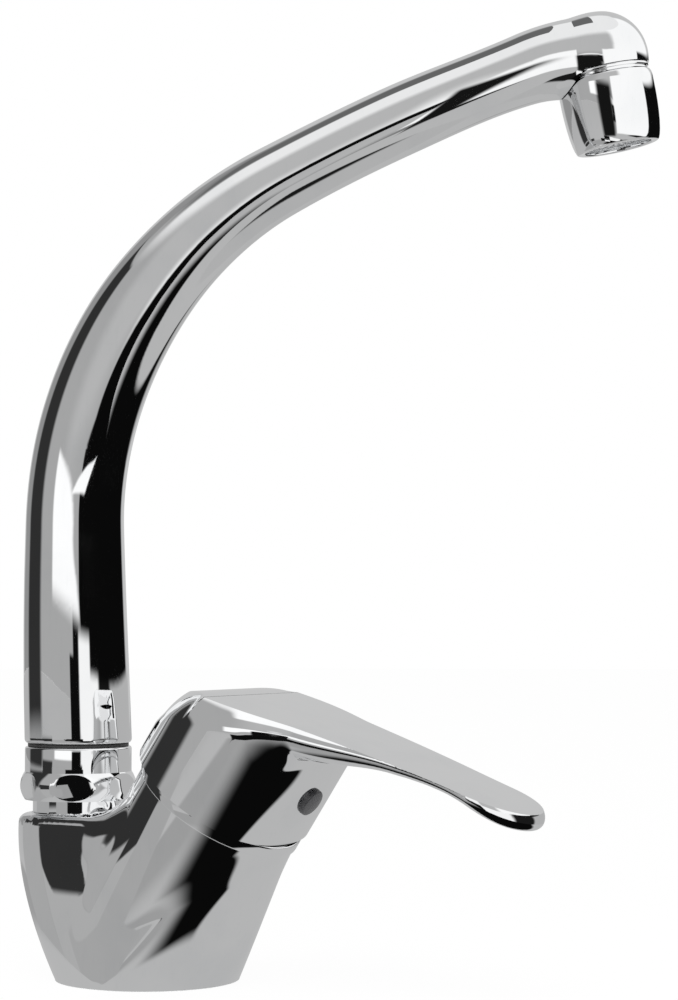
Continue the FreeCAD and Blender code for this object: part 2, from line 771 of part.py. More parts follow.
def cap_outline():
    """The cap's outline round the neck axis: a circle with a flat chin and rounded corners."""
    radius = size.cap_radius.value
    reach = size.chin_reach.value
    corner = size.chin_corner.value
    centre = Vector(reach - corner, math.sqrt((radius - corner) ** 2 - (reach - corner) ** 2), 0)
    outward = Vector(centre).normalize()
    on_circle = outward * radius
    on_chin = centre + Vector(corner, 0, 0)
    middle = centre + (outward + Vector(1, 0, 0)).normalize() * corner

    def mirrored(point):
        return Vector(point.x, -point.y, point.z)

    edges = [
        Part.Arc(on_circle, Vector(-radius, 0, 0), mirrored(on_circle)).toShape(),
        Part.Arc(mirrored(on_circle), mirrored(middle), mirrored(on_chin)).toShape(),
        Part.LineSegment(mirrored(on_chin), on_chin).toShape(),
        Part.Arc(on_chin, middle, on_circle).toShape(),
    ]
    return Part.Wire(edges)


def lever_top_circle():
    """The circle of the handle's arched top line in the centre plane."""
    crown = skirt_bottom + size.cavity_height + size.cap_crown
    rear = Vector(size.cap_rear_forward.value, 0, crown.value)
    middle = Vector(size.lever_mid_forward.value, 0, rear.z - size.lever_mid_drop.value)
    tip = Vector(size.lever_tip_forward.value, 0, rear.z - size.lever_tip_drop.value)
    return Part.Arc(rear, middle, tip).toShape().Curve


def handle_shape():
    """Cap, skirt, chin and lever, with the hollow, stem socket and screw hole."""
    reach = 2 * size.lever_tip_forward.value
    arch = lever_top_circle()
    tip_forward = size.lever_tip_forward.value
    end_half = size.lever_end_half.value

    def top(forward):
        drop = forward - arch.Center.x
        return Vector(forward, 0, arch.Center.z + math.sqrt(arch.Radius ** 2 - drop ** 2))

    def under(forward, depth):
        return top(forward) - Vector(0, 0, depth)

    # Everything below the arched top, which rounds into the cap's sloping back
    back_foot = neck_frame.multVec(Vector(-size.cap_radius.value, 0, 0))
    back_top = neck_frame.multVec(Vector(-size.cap_radius.value, 0, reach))
    back_line = Part.LineSegment(back_foot, back_top).toShape()
    rear_cut = back_line.common(Part.Face(Part.Wire([arch.toShape()]))).Vertexes
    rear_corner = max((vertex.Point for vertex in rear_cut), key=lambda point: point.z)
    down_back = (back_foot - rear_corner).normalize()
    along_top = Vector(arch.Center.z - rear_corner.z, 0, rear_corner.x - arch.Center.x)
    along_top = (along_top * -1).normalize()
    opening = math.acos(down_back.dot(along_top))
    rear_round = size.cap_rear_round.value
    setback = rear_round / math.tan(opening / 2)
    round_low = rear_corner + down_back * setback
    round_high = top(rear_corner.x + setback * along_top.x)
    bisector = (down_back + along_top).normalize()
    round_middle = rear_corner + bisector * (rear_round / math.sin(opening / 2) - rear_round)
    below = Part.Wire(
        [
            Part.Arc(round_high, top(size.lever_mid_forward.value), top(tip_forward)).toShape(),
            Part.LineSegment(top(tip_forward), Vector(tip_forward, 0, 0)).toShape(),
            Part.LineSegment(Vector(tip_forward, 0, 0), back_foot).toShape(),
            Part.LineSegment(back_foot, round_low).toShape(),
            Part.Arc(round_low, round_middle, round_high).toShape(),
        ]
    )
    below_top = Part.Face(below).extrude(Vector(0, reach, 0))
    below_top.translate(Vector(0, -reach / 2, 0))

    cap = Part.Face(cap_outline()).extrude(Vector(0, 0, reach))
    cap.translate(Vector(0, 0, skirt_bottom.value))
    cap = in_frame(neck_frame, cap).common(below_top)

    # The lever: its side view, kept inside its outline seen from above
    cap_axis_forward = neck_frame.multVec(Vector(0, 0, plug_height.value)).x
    root = cap_axis_forward + size.cap_radius.value
    waist = mix(root, tip_forward, size.lever_waist_share.value)
    thin = mix(root, tip_forward, size.lever_thin_share.value)
    tip_start = tip_forward - size.lever_tip_round.value
    underside = Part.BSplineCurve()
    underside.interpolate(
        [
            under(cap_axis_forward, size.lever_root_depth.value),
            under(root, size.lever_root_depth.value),
            under(waist, size.lever_waist_depth.value),
            under(thin, size.lever_thin_depth.value),
            under(tip_start, size.lever_tip_depth.value),
        ]
    )
    tip_low = under(tip_start, size.lever_tip_depth.value)
    tip_front = Vector(tip_forward, 0, (top(tip_forward).z + tip_low.z) / 2)
    tip_high = top(tip_start)
    side_view = Part.Wire(
        [
            Part.Arc(top(cap_axis_forward), top(waist), tip_high).toShape(),
            Part.Arc(tip_high, tip_front, tip_low).toShape(),
            underside.toShape(),
            Part.LineSegment(
                under(cap_axis_forward, size.lever_root_depth.value), top(cap_axis_forward)
            ).toShape(),
        ]
    )
    lever = Part.Face(side_view).extrude(Vector(0, reach, 0))
    lever.translate(Vector(0, -reach / 2, 0))

    flare_half = mix(size.lever_root_half.value, size.lever_waist_half.value, size.lever_flare_share.value)

    def corner(side):
        return Vector(cap_axis_forward, side * size.lever_root_half.value, 0)

    def end(side):
        return Vector(tip_forward - end_half, side * end_half, 0)

    def side_curve(side):
        curve = Part.BSplineCurve()
        curve.interpolate(
            [
                corner(side),
                Vector((cap_axis_forward + waist) / 2, side * flare_half, 0),
                Vector(waist, side * size.lever_waist_half.value, 0),
                end(side),
            ]
        )
        return curve.toShape()

    plan = Part.Wire(
        Part.__sortEdges__(
            [
                side_curve(-1),
                Part.Arc(end(-1), Vector(tip_forward, 0, 0), end(1)).toShape(),
                side_curve(1),
                Part.LineSegment(corner(1), corner(-1)).toShape(),
            ]
        )
    )
    lever = lever.common(Part.Face(plan).extrude(Vector(0, 0, reach)))
    solid = cap.fuse(lever).removeSplitter()

    hollow_radius = size.cap_radius.value - size.skirt_wall.value
    hollow = Part.makeCylinder(
        hollow_radius, size.cavity_height.value, Vector(0, 0, skirt_bottom.value)
    )
    chin_inside = size.chin_reach.value - size.chin_wall.value
    hollow = hollow.cut(
        Part.makeBox(
            hollow_radius,
            2 * hollow_radius,
            size.cavity_height.value,
            Vector(chin_inside, -hollow_radius, skirt_bottom.value),
        )
    )
    fit = size.seat_clearance.value
    stem_top = pivot_height.value + size.stem_above.value + fit
    socket_width = size.stem_width.value + 2 * fit
    socket_depth = size.stem_depth.value + 2 * fit
    stem_socket = Part.makeBox(
        socket_width,
        socket_depth,
        stem_top - skirt_bottom.value,
        Vector(-socket_width / 2, -socket_depth / 2, skirt_bottom.value),
    )
    forward = Vector(1, 0, 0)
    screw_hole = Part.makeCylinder(
        size.screw_radius.value + size.thread_clearance.value,
        size.chin_reach.value,
        Vector(0, 0, plug_height.value),
        forward,
    )
    plug_seat = Part.makeCylinder(
        size.plug_radius.value + fit,
        size.plug_depth.value + OVERCUT,
        Vector(size.chin_reach.value - size.plug_depth.value, 0, plug_height.value),
        forward,
    )
    cuts = [in_frame(neck_frame, tool) for tool in (hollow, stem_socket, screw_hole, plug_seat)]
    return solid.cut(cuts)


node(coded("handle", handle_shape()), "handle")

FORWARD = Rotation(Vector(0, 1, 0), 90)
screw = cylinder("screw_blank", size.screw_radius, size.screw_length)
screw_key = block(
    "screw_key",
    size.screw_key * 2,
    size.screw_key * 2,
    size.screw_length / 2,
    -size.screw_key,
    -size.screw_key,
    size.screw_length / 2,
)
screw_seat = Vector(size.stem_width.value / 2 + size.seat_clearance.value, 0, plug_height.value)
node(cut("grub_screw", screw, screw_key), "grub_screw", neck_frame.multiply(Placement(screw_seat, FORWARD)))

plug = turned(
    "index_plug",
    [
        (0, 0),
        (size.plug_radius, 0),
        (size.plug_radius, size.plug_depth - size.plug_crown),
        (size.plug_radius - size.plug_crown, size.plug_depth),
        (0, size.plug_depth),
    ],
)
plug_seat_place = Vector(size.chin_reach.value - size.plug_depth.value, 0, plug_height.value)
node(plug, "index_plug", neck_frame.multiply(Placement(plug_seat_place, FORWARD)))


# Spout nut


def spout_nut_shape():
    """A plain ring over a barrel bead that six wrench flats cut into."""
    bottom = size.nut_bottom.value
    bead_top = bottom + size.bead_height.value
    top = size.nut_top.value
    radius = size.nut_radius.value
    bore = size.boss_radius.value + size.thread_clearance.value
    lip = size.spigot_radius.value + size.running_clearance.value
    chamfer = size.nut_chamfer.value
    corners = [
        Vector(bore, 0, bottom),
        Vector(radius, 0, bottom),
        Vector(radius, 0, bead_top),
        Vector(radius, 0, top - chamfer),
        Vector(radius - chamfer, 0, top),
        Vector(lip, 0, top),
        Vector(lip, 0, size.nut_thread_top.value),
        Vector(bore, 0, size.nut_thread_top.value),
    ]
    edges = []
    for index, here in enumerate(corners):
        ahead = corners[(index + 1) % len(corners)]
        if index == 1:
            bulge = Vector(size.bead_radius.value, 0, (bottom + bead_top) / 2)
            edges.append(Part.Arc(here, bulge, ahead).toShape())
        else:
            edges.append(Part.LineSegment(here, ahead).toShape())
    ring = Part.Face(Part.Wire(edges)).revolve(Vector(0, 0, 0), Vector(0, 0, 1), 360)
    half_side = math.pi / NUT_SIDES
    corner_radius = size.nut_flats.value / 2 / math.cos(half_side)
    corners = [
        Vector(
            corner_radius * math.cos(half_side * (2 * index + 1)),
            corner_radius * math.sin(half_side * (2 * index + 1)),
            bottom,
        )
        for index in range(NUT_SIDES + 1)
    ]
    hexagon = Part.Face(Part.makePolygon(corners)).extrude(Vector(0, 0, top - bottom))
    hexagon.rotate(Vector(0, 0, 0), Vector(0, 0, 1), size.nut_turn.value)
    return ring.common(hexagon)


nut = coded("spout_nut", spout_nut_shape())
node(nut, "spout_nut", Placement(Vector(-size.spout_back.value, 0, 0), Rotation()))


# Spout

foot_height = size.nut_top + size.washer_height + size.seat_clearance * 2


def spout_path():
    """Stations along the spout's middle line: point, direction and outer radius."""
    foot = foot_height.value
    lean = size.spout_lean.value
    start = size.bend_start.value
    bend = size.bend_size.value
    turn = math.radians(size.bend_angle.value)
    arm = size.arm_size.value
    arm_turn = math.radians(size.arm_angle.value)
    rise = start - foot
    bend_end = Vector(-lean + bend * (1 - math.cos(turn)), 0, start + bend * math.sin(turn))
    quarter = math.pi / 2
    stations = []
    for index in range(FOOT_STEPS):
        share = index / FOOT_STEPS
        radius = mix(size.spout_foot_radius.value, size.spout_bend_radius.value, share ** FOOT_TAPER)
        point = Vector(-lean * math.sin(quarter * share), 0, foot + rise * share)
        stations.append((point, Vector(0, 0, 1), radius))
    for index in range(BEND_STEPS):
        share = index / BEND_STEPS
        angle = turn * share
        point = Vector(-lean + bend * (1 - math.cos(angle)), 0, start + bend * math.sin(angle))
        if share < 0.5:
            radius = mix(size.spout_bend_radius.value, size.spout_mid_radius.value, share * 2)
        else:
            radius = mix(size.spout_mid_radius.value, size.spout_arm_radius.value, share * 2 - 1)
        stations.append((point, Vector(math.sin(angle), 0, math.cos(angle)), radius))
    arm_centre = bend_end + Vector(math.cos(turn), 0, -math.sin(turn)) * arm
    for index in range(ARM_STEPS + 1):
        share = index / ARM_STEPS
        angle = turn + arm_turn * share
        point = arm_centre - Vector(math.cos(angle), 0, -math.sin(angle)) * arm
        radius = mix(size.spout_arm_radius.value, size.spout_end_radius.value, share)
        stations.append((point, Vector(math.sin(angle), 0, math.cos(angle)), radius))
    stations.append((head_centre, stations[-1][1], size.spout_head_swell.value))
    return stations


def tube(stations, inset):
    """A smooth tube through the stations, its radius reduced by the inset."""
    rings = [
        Part.Wire([Part.Circle(point, direction, radius - inset).toShape()])
        for point, direction, radius in stations
    ]
    return Part.makeLoft(rings, True, False)


def spout_shape():
    """Cast tube, round head, threaded nipple and spigot with its grooves."""
    stations = spout_path()
    down = aerator_axis.multVec(Vector(0, 0, 1))
    outer = tube(stations, 0)
    foot_edges = [edge for edge in outer.Edges if edge.BoundBox.ZMax < foot_height.value + ON_LEVEL]
    outer = outer.makeFillet(size.spout_foot_round.value, foot_edges)
    ball = Part.makeSphere(size.head_radius.value, head_centre)
    aerator_room = Part.makeCylinder(
        size.aerator_radius.value + size.aerator_gap.value, 2 * size.aerator_length.value, seam_centre, down
    )
    ball = ball.cut(aerator_room)
    collar = Part.makeCylinder(size.aerator_top_radius.value, size.seam_drop.value, head_centre, down)
    nipple = Part.makeCylinder(
        size.nipple_radius.value, size.nipple_length.value + OVERCUT, seam_centre - down * OVERCUT, down
    )
    outer = outer.cut(aerator_room)
    foot = foot_height.value
    spigot = Part.makeCylinder(
        size.spigot_radius.value,
        foot - size.spigot_bottom.value + OVERCUT,
        Vector(0, 0, size.spigot_bottom.value),
    )
    solid = outer.fuse([ball, collar, nipple, spigot]).removeSplitter()

    inner_stations = stations[1:]
    water_way = tube(inner_stations, size.spout_wall.value)
    outlet = Part.makeCylinder(
        size.nipple_bore.value, size.nipple_length.value + size.seam_drop.value + OVERCUT, head_centre, down
    )
    inlet_bore = Part.makeCylinder(
        size.spigot_bore.value,
        inner_stations[0][0].z - size.spigot_bottom.value + OVERCUT,
        Vector(0, 0, size.spigot_bottom.value),
    )
    cuts = [water_way, outlet, inlet_bore]
    groove_half = size.ring_section.value + size.seat_clearance.value
    for height in (size.lower_ring.value, size.upper_ring.value):
        cuts.append(ring_tool(size.ring_groove.value, height - groove_half, 2 * groove_half))
    clip_room = size.clip_height.value + size.clip_play.value
    cuts.append(ring_tool(size.clip_groove.value, size.boss_top.value, clip_room))
    return solid.cut(cuts)


def ring_tool(inner, bottom, height):
    """A ring that cuts a groove into the spigot."""
    outer = size.spigot_radius.value + OVERCUT
    return Part.makeCylinder(outer, height, Vector(0, 0, bottom)).cut(
        Part.makeCylinder(inner, height, Vector(0, 0, bottom))
    )


node(coded("spout", spout_shape()), "spout", spout_frame)

washer_inner = size.spigot_radius + size.seat_clearance
washer_bottom = size.nut_top + size.seat_clearance
washer = turned(
    "spout_slip_washer",
    [
        (washer_inner, washer_bottom),
        (size.nut_radius - size.washer_height, washer_bottom),
        (size.nut_radius - size.washer_height, washer_bottom + size.washer_height),
        (washer_inner, washer_bottom + size.washer_height),
    ],
)
node(washer, "spout_slip_washer", spout_frame)

ring_radius = size.ring_groove + size.seat_clearance + size.ring_section
spout_rings = [
    torus("spout_ring_lower", ring_radius, size.ring_section, size.lower_ring),
    torus("spout_ring_upper", ring_radius, size.ring_section, size.upper_ring),
]
node(group("spout_o_rings", *spout_rings), "spout_o_rings", spout_frame)

clip_inner = size.clip_groove + size.seat_clearance
clip_bottom = size.boss_top + size.seat_clearance
clip = turned(
    "spout_retaining_ring",
    [
        (clip_inner, clip_bottom),
        (size.clip_outer, clip_bottom),
        (size.clip_outer, clip_bottom + size.clip_height),
        (clip_inner, clip_bottom + size.clip_height),
    ],
)
clip_gap = block(
    "clip_gap",
    size.clip_outer,
    size.clip_opening,
    size.clip_height,
    0,
    -(size.clip_opening / 2),
    clip_bottom,
)
node(cut("retaining_ring", clip, clip_gap), "spout_retaining_ring", spout_frame)


# Aerator, along its own axis from the seam down

gasket_top = size.nipple_length + size.seat_clearance
strainer_top = gasket_top + size.gasket_height + size.seat_clearance
jet_top = strainer_top + size.strainer_height + size.seat_clearance
grid_top = jet_top + size.jet_height + size.seat_clearance
lip_top = size.aerator_length - size.lip_height
insert_radius = size.aerator_bore - size.seat_clearance
thread_radius = size.nipple_radius + size.thread_clearance

housing_profile = [
    (thread_radius, size.seat_clearance),
    (size.aerator_top_radius, size.seat_clearance),
    (size.aerator_top_radius, size.aerator_bead),
    (size.aerator_groove, size.aerator_bead),
    (size.aerator_groove, size.aerator_bead + size.aerator_groove_height),
    (size.aerator_radius, size.aerator_shoulder),
    (size.aerator_radius, size.aerator_length * size.aerator_straight_share),
    (size.aerator_end_radius + size.aerator_end_swell, lip_top - size.lip_height),
    (size.aerator_end_radius, size.aerator_length),
    (size.aerator_lip, size.aerator_length),
    (size.aerator_lip, lip_top),
    (size.aerator_bore, lip_top),
    (size.aerator_bore, size.nipple_length),
    (thread_radius, size.nipple_length),
]
node(turned("aerator_housing", housing_profile), "aerator_housing", aerator_frame)

gasket = turned(
    "aerator_gasket",
    [
        (size.nipple_bore, gasket_top),
        (insert_radius, gasket_top),
        (insert_radius, gasket_top + size.gasket_height),
        (size.nipple_bore, gasket_top + size.gasket_height),
    ],
)
node(gasket, "aerator_gasket", aerator_frame)


def pierced(name, top, height, hole_radius, count, circle_share):
    """A round insert with a ring of holes."""
    blank = cylinder(name + "_blank", insert_radius, height, z=top)
    circle = insert_radius * circle_share
    holes = []
    for index in range(count):
        angle = 2 * math.pi * index / count
        holes.append(
            cylinder(
                "%s_hole_%d" % (name, index + 1),
                hole_radius,
                height,
                circle * round(math.cos(angle), 6),
                circle * round(math.sin(angle), 6),
                top,
            )
        )
    return cut(name, blank, group(name + "_holes", *holes))


node(
    pierced(
        "strainer",
        strainer_top,
        size.strainer_height,
        size.strainer_hole,
        STRAINER_HOLES,
        size.strainer_circle,
    ),
    "aerator_strainer",
    aerator_frame,
)
node(
    pierced("jet", jet_top, size.jet_height, size.jet_hole, JET_HOLES, size.jet_circle),
    "aerator_jet",
    aerator_frame,
)


def grid_shape():
    """An outer wall, a hub and thin fins between them."""
    top = grid_top.value
    height = lip_top.value - size.seat_clearance.value - top
    outer = insert_radius.value
    at_top = Vector(0, 0, top)
    wall = Part.makeCylinder(outer, height, at_top).cut(
        Part.makeCylinder(outer - size.insert_wall.value, height, at_top)
    )
    hub = Part.makeCylinder(size.grid_hub.value, height, at_top)
    fins = []
    for index in range(GRID_FINS):
        fin = Part.makeBox(
            outer - size.insert_wall.value / 2 - size.grid_hub.value / 2,
            size.grid_fin.value,
            height,
            Vector(size.grid_hub.value / 2, -size.grid_fin.value / 2, top),
        )
        fin.rotate(Vector(0, 0, 0), Vector(0, 0, 1), 360 * index / GRID_FINS)
        fins.append(fin)
    return wall.fuse([hub] + fins).removeSplitter()


node(coded("aerator_grid", grid_shape()), "aerator_grid", aerator_frame)


# Check every object, then write each piece
doc.recompute()
for item in doc.Objects:
    faults = [state for state in item.State if state in ("Invalid", "Error")]
    if faults:
        raise RuntimeError("%s is %s" % (item.Label, ", ".join(faults)))
for item in nodes:
    if item.Shape.isNull() or not item.Shape.isValid() or not item.Shape.Solids:
        raise RuntimeError("%s has no valid solid" % item.Label)

os.makedirs("parts", exist_ok=True)
for item in nodes:
    item.Shape.exportStep(os.path.join("parts", item.Label + ".step"))
    print("%-22s %2d solids %10.1f mm3" % (item.Label, len(item.Shape.Solids), item.Shape.Volume))
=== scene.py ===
"""Single-handle kitchen faucet: chrome looks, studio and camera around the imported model.

The studio is in metres. The pieces are modelled in millimetres, and a finished mesh is scaled to metres.
"""

import json
import logging
import math
from dataclasses import dataclass
from enum import Enum
from typing import Callable, Iterable, Sequence, Union

import bmesh
import bpy
import numpy as np
from mathutils import Euler, Matrix, Vector


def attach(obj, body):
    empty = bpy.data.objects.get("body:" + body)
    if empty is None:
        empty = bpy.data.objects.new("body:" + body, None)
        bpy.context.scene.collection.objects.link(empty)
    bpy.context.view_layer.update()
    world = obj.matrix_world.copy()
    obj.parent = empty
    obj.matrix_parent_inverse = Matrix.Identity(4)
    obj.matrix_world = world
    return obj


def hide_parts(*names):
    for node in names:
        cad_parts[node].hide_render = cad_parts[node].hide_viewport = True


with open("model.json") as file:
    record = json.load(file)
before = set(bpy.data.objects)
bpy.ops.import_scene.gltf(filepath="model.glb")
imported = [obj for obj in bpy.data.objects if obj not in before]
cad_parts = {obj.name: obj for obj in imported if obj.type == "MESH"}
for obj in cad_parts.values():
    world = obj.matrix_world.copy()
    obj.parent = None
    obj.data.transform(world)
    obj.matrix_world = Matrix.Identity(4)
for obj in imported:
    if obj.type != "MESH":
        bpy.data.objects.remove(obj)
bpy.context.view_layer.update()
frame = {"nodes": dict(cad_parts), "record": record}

LOG = logging.getLogger("faucet")
MM = 0.001
FULL_TURN = 2 * math.pi

Value = Union[float, "Wire"]
Stops = tuple[tuple[float, float], ...]
Outline = tuple[tuple[float, float], ...]


class Slot(Enum):
    """Material slots of the record."""

    CHROME = "chrome"
    BRASS = "brass"
    STEEL = "steel"
    RUBBER = "rubber"
    CARTRIDGE_PLASTIC = "cartridge_plastic"
    AERATOR_PLASTIC = "aerator_plastic"
    WASHER_PLASTIC = "washer_plastic"
    PLUG_PLASTIC = "plug_plastic"
    CERAMIC = "ceramic"


class RigidBody(Enum):
    """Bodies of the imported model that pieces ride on."""

    BASE = "base"
    LEVER = "lever"
    SPOUT = "swivel_spout"


# Frames of the sub-assemblies, in millimetres and degrees

NECK_BACK = 9.1
NECK_LEAN = 34.0
NUT_BACK = 24.2
SPOUT_TURN = 42.0
PLUG_AHEAD = 21.4
PLUG_HEIGHT = 76.6
UPRIGHT = Matrix.Identity(4)
QUARTER = Matrix.Rotation(math.pi / 2, 4, "Y")
NECK_FRAME = Matrix.Translation((-NECK_BACK, 0, 0)) @ Matrix.Rotation(math.radians(NECK_LEAN), 4, "Y")
NUT_FRAME = Matrix.Translation((-NUT_BACK, 0, 0))
SPOUT_FRAME = NUT_FRAME @ Matrix.Rotation(math.radians(SPOUT_TURN), 4, "Z")
PLUG_FRAME = NECK_FRAME @ Matrix.Translation((PLUG_AHEAD, 0, PLUG_HEIGHT)) @ QUARTER

# How far a tool reaches past the face that it cuts, in millimetres

PAST = 1.0


# Node trees


@dataclass(frozen=True)
class Wire:
    """A node output that takes part in sums and products."""

    tree: bpy.types.NodeTree
    socket: bpy.types.NodeSocket

    def _math(self, operation: str, left: Value, right: Value) -> "Wire":
        """Join two values in a Math node.

        Args:
            operation: the Math node's operation.
            left: first value.
            right: second value.

        Returns:
            The node's result.
        """
        node = self.tree.nodes.new("ShaderNodeMath")
        node.operation = operation
        for place, value in zip(node.inputs, (left, right)):
            feed(self.tree, place, value)
        return Wire(self.tree, node.outputs[0])

    def __add__(self, other: Value) -> "Wire":
        """Sum of two values."""
        return self._math("ADD", self, other)

    def __radd__(self, other: Value) -> "Wire":
        """Sum with a number on the left."""
        return self._math("ADD", other, self)

    def __sub__(self, other: Value) -> "Wire":
        """Difference of two values."""
        return self._math("SUBTRACT", self, other)

    def __rsub__(self, other: Value) -> "Wire":
        """Difference from a number on the left."""
        return self._math("SUBTRACT", other, self)

    def __mul__(self, other: Value) -> "Wire":
        """Product of two values."""
        return self._math("MULTIPLY", self, other)

    def __rmul__(self, other: Value) -> "Wire":
        """Product with a number on the left."""
        return self._math("MULTIPLY", other, self)

    def __pow__(self, other: Value) -> "Wire":
        """Power of a value."""
        return self._math("POWER", self, other)

    def __rpow__(self, other: Value) -> "Wire":
        """Power of a number on the left."""
        return self._math("POWER", other, self)


def feed(tree: bpy.types.NodeTree, place: bpy.types.NodeSocket, value: object) -> None:
    """Link a wire to an input, or set the input to a value.

    Args:
        tree: the node tree.
        place: the input.
        value: a wire, a number or a vector.
    """
    if isinstance(value, Wire):
        tree.links.new(value.socket, place)
    else:
        place.default_value = value


class Graph:
    """The node tree of one material or of the world."""

    def __init__(self, tree: bpy.types.NodeTree) -> None:
        """Start from an empty tree."""
        self.tree = tree
        tree.nodes.clear()

    def node(self, kind: str, settings: dict | None = None, inputs: dict | None = None) -> bpy.types.Node:
        """Add a node.

        Args:
            kind: node type.
            settings: properties of the node by name.
            inputs: values or wires by input name or number.

        Returns:
            The new node.
        """
        node = self.tree.nodes.new(kind)
        for name, value in (settings or {}).items():
            setattr(node, name, value)
        for place, value in (inputs or {}).items():
            feed(self.tree, node.inputs[place], value)
        return node

    def wire(self, node: bpy.types.Node, output: int | str = 0) -> Wire:
        """An output of a node as a wire."""
        return Wire(self.tree, node.outputs[output])

    def spot(self) -> Wire:
        """Object coordinates."""
        return self.wire(self.node("ShaderNodeTexCoord"), "Object")

    def place(self, scale: Sequence[float] = (1, 1, 1)) -> Wire:
        """Object coordinates stretched by a scale."""
        return self.wire(self.node("ShaderNodeMapping", {}, {"Vector": self.spot(), "Scale": scale}))

    def split(self, vector: Wire) -> list[Wire]:
        """The three parts of a vector."""
        parts = self.node("ShaderNodeSeparateXYZ", {}, {0: vector})
        return [self.wire(parts, index) for index in range(3)]

    def angle(self, across: Wire, along: Wire) -> Wire:
        """The angle of a direction, in degrees."""
        turn = self.wire(self.node("ShaderNodeMath", {"operation": "ARCTAN2"}, {0: across, 1: along}))
        return turn * math.degrees(1)

    def noise(self, place: Wire, scale: float, detail: float) -> Wire:
        """A noise pattern between 0 and 1, with cells to the metre and octaves."""
        inputs = {"Vector": place, "Scale": scale, "Detail": detail, "Roughness": 0.5}
        return self.wire(self.node("ShaderNodeTexNoise", {}, inputs))

    def ramp(self, value: Wire, low: float, high: float) -> Wire:
        """A smooth step of a value.

        Args:
            value: what is mapped.
            low: where the step starts.
            high: where it ends.

        Returns:
            A value between 0 and 1.
        """
        settings = {"interpolation_type": "SMOOTHSTEP", "clamp": True}
        inputs = {"Value": value, "From Min": low, "From Max": high}
        return self.wire(self.node("ShaderNodeMapRange", settings, inputs))

    def mix(self, share: Value, first: Sequence[float], second: Sequence[float]) -> Wire:
        """A colour between two."""
        colours = {0: share, 6: (*first, 1), 7: (*second, 1)}
        return self.wire(self.node("ShaderNodeMix", {"data_type": "RGBA"}, colours), 2)

    def bump(self, height: Wire, strength: float, distance: float) -> Wire:
        """A normal raised by a height pattern, by metres from low to high."""
        inputs = {"Height": height, "Strength": strength, "Distance": distance}
        return self.wire(self.node("ShaderNodeBump", {}, inputs), "Normal")

    def emission(self, colour: Wire | Sequence[float]) -> Wire:
        """A shader that shines by itself."""
        return self.wire(self.node("ShaderNodeEmission", {}, {"Color": colour}))

    def between(self, share: Value, first: Wire, second: Wire) -> Wire:
        """A shader between two."""
        return self.wire(self.node("ShaderNodeMixShader", {}, {0: share, 1: first, 2: second}))

    def surface(self, shader: Wire) -> None:
        """Finish a material's tree with a shader."""
        self.node("ShaderNodeOutputMaterial", {}, {"Surface": shader})

    def principled(self, inputs: dict) -> None:
        """Finish a material's tree with a Principled surface."""
        self.surface(self.wire(self.node("ShaderNodeBsdfPrincipled", {}, inputs), "BSDF"))


def blank_material(name: str) -> tuple[bpy.types.Material, Graph]:
    """An empty material.

    Args:
        name: name of the material.

    Returns:
        The material and its graph.
    """
    made = bpy.data.materials.new(name)
    made.use_nodes = True
    return made, Graph(made.node_tree)


# Finishes


@dataclass(frozen=True)
class Finish:
    """A finish for one material slot."""

    slot: Slot
    dark: tuple[float, float, float]
    light: tuple[float, float, float]
    smooth: float
    rough: float

    def paint(self, graph: Graph) -> None:
        """Build the nodes of the finish."""
        raise NotImplementedError

    def roughness(self, share: Wire) -> Wire:
        """Roughness between the smooth and the rough end."""
        return share * (self.rough - self.smooth) + self.smooth

    def material(self) -> bpy.types.Material:
        """The finish as a material.

        Returns:
            The material.
        """
        made, graph = blank_material(self.slot.value)
        self.paint(graph)
        return made


@dataclass(frozen=True)
class PolishedChrome(Finish):
    """Mirror chrome with faint wiping marks and a trace of casting waviness."""

    haze_share: float = 0.7
    wiping_share: float = 0.3
    wiping_stretch: tuple[float, float, float] = (1.0, 1.0, 0.12)

    def paint(self, graph: Graph) -> None:
        """Build the nodes of the finish.

        Args:
            graph: where the nodes go.
        """
        place = graph.place()
        haze = graph.ramp(graph.noise(place, scale=55.0, detail=4.0), low=0.45, high=0.75)
        streaks = graph.noise(graph.place(self.wiping_stretch), scale=900.0, detail=3.0)
        wiping = graph.ramp(streaks, low=0.5, high=0.8)
        marks = haze * self.haze_share + wiping * self.wiping_share
        wave = graph.noise(place, scale=130.0, detail=2.0)
        graph.principled(
            {
                "Base Color": graph.mix(marks, self.light, self.dark),
                "Metallic": 1.0,
                "Roughness": self.roughness(marks),
                "Normal": graph.bump(wave, strength=0.05, distance=0.00002),
            }
        )


@dataclass(frozen=True)
class MouldedPlastic(Finish):
    """Moulded plastic with a fine grain."""

    cloud_share: float = 0.6
    grain_share: float = 0.4

    def paint(self, graph: Graph) -> None:
        """Build the nodes of the finish.

        Args:
            graph: where the nodes go.
        """
        place = graph.place()
        cloud = graph.noise(place, scale=140.0, detail=4.0)
        grain = graph.noise(place, scale=2600.0, detail=3.0)
        tint = cloud * self.cloud_share + grain * self.grain_share
        graph.principled(
            {
                "Base Color": graph.mix(tint, self.dark, self.light),
                "Roughness": self.roughness(grain),
                "Normal": graph.bump(grain, strength=0.4, distance=0.00003),
            }
        )


@dataclass(frozen=True)
class MachinedMetal(Finish):
    """Turned or drawn metal with fine tool lines."""

    stain_share: float = 0.5
    line_share: float = 0.5
    line_stretch: tuple[float, float, float] = (1.0, 1.0, 14.0)

    def paint(self, graph: Graph) -> None:
        """Build the nodes of the finish.

        Args:
            graph: where the nodes go.
        """
        lines = graph.noise(graph.place(self.line_stretch), scale=420.0, detail=4.0)
        stain = graph.noise(graph.place(), scale=90.0, detail=5.0)
        tint = stain * self.stain_share + lines * self.line_share
        graph.principled(
            {
                "Base Color": graph.mix(tint, self.dark, self.light),
                "Metallic": 1.0,
                "Roughness": self.roughness(lines),
                "Normal": graph.bump(lines, strength=0.25, distance=0.00004),
            }
        )


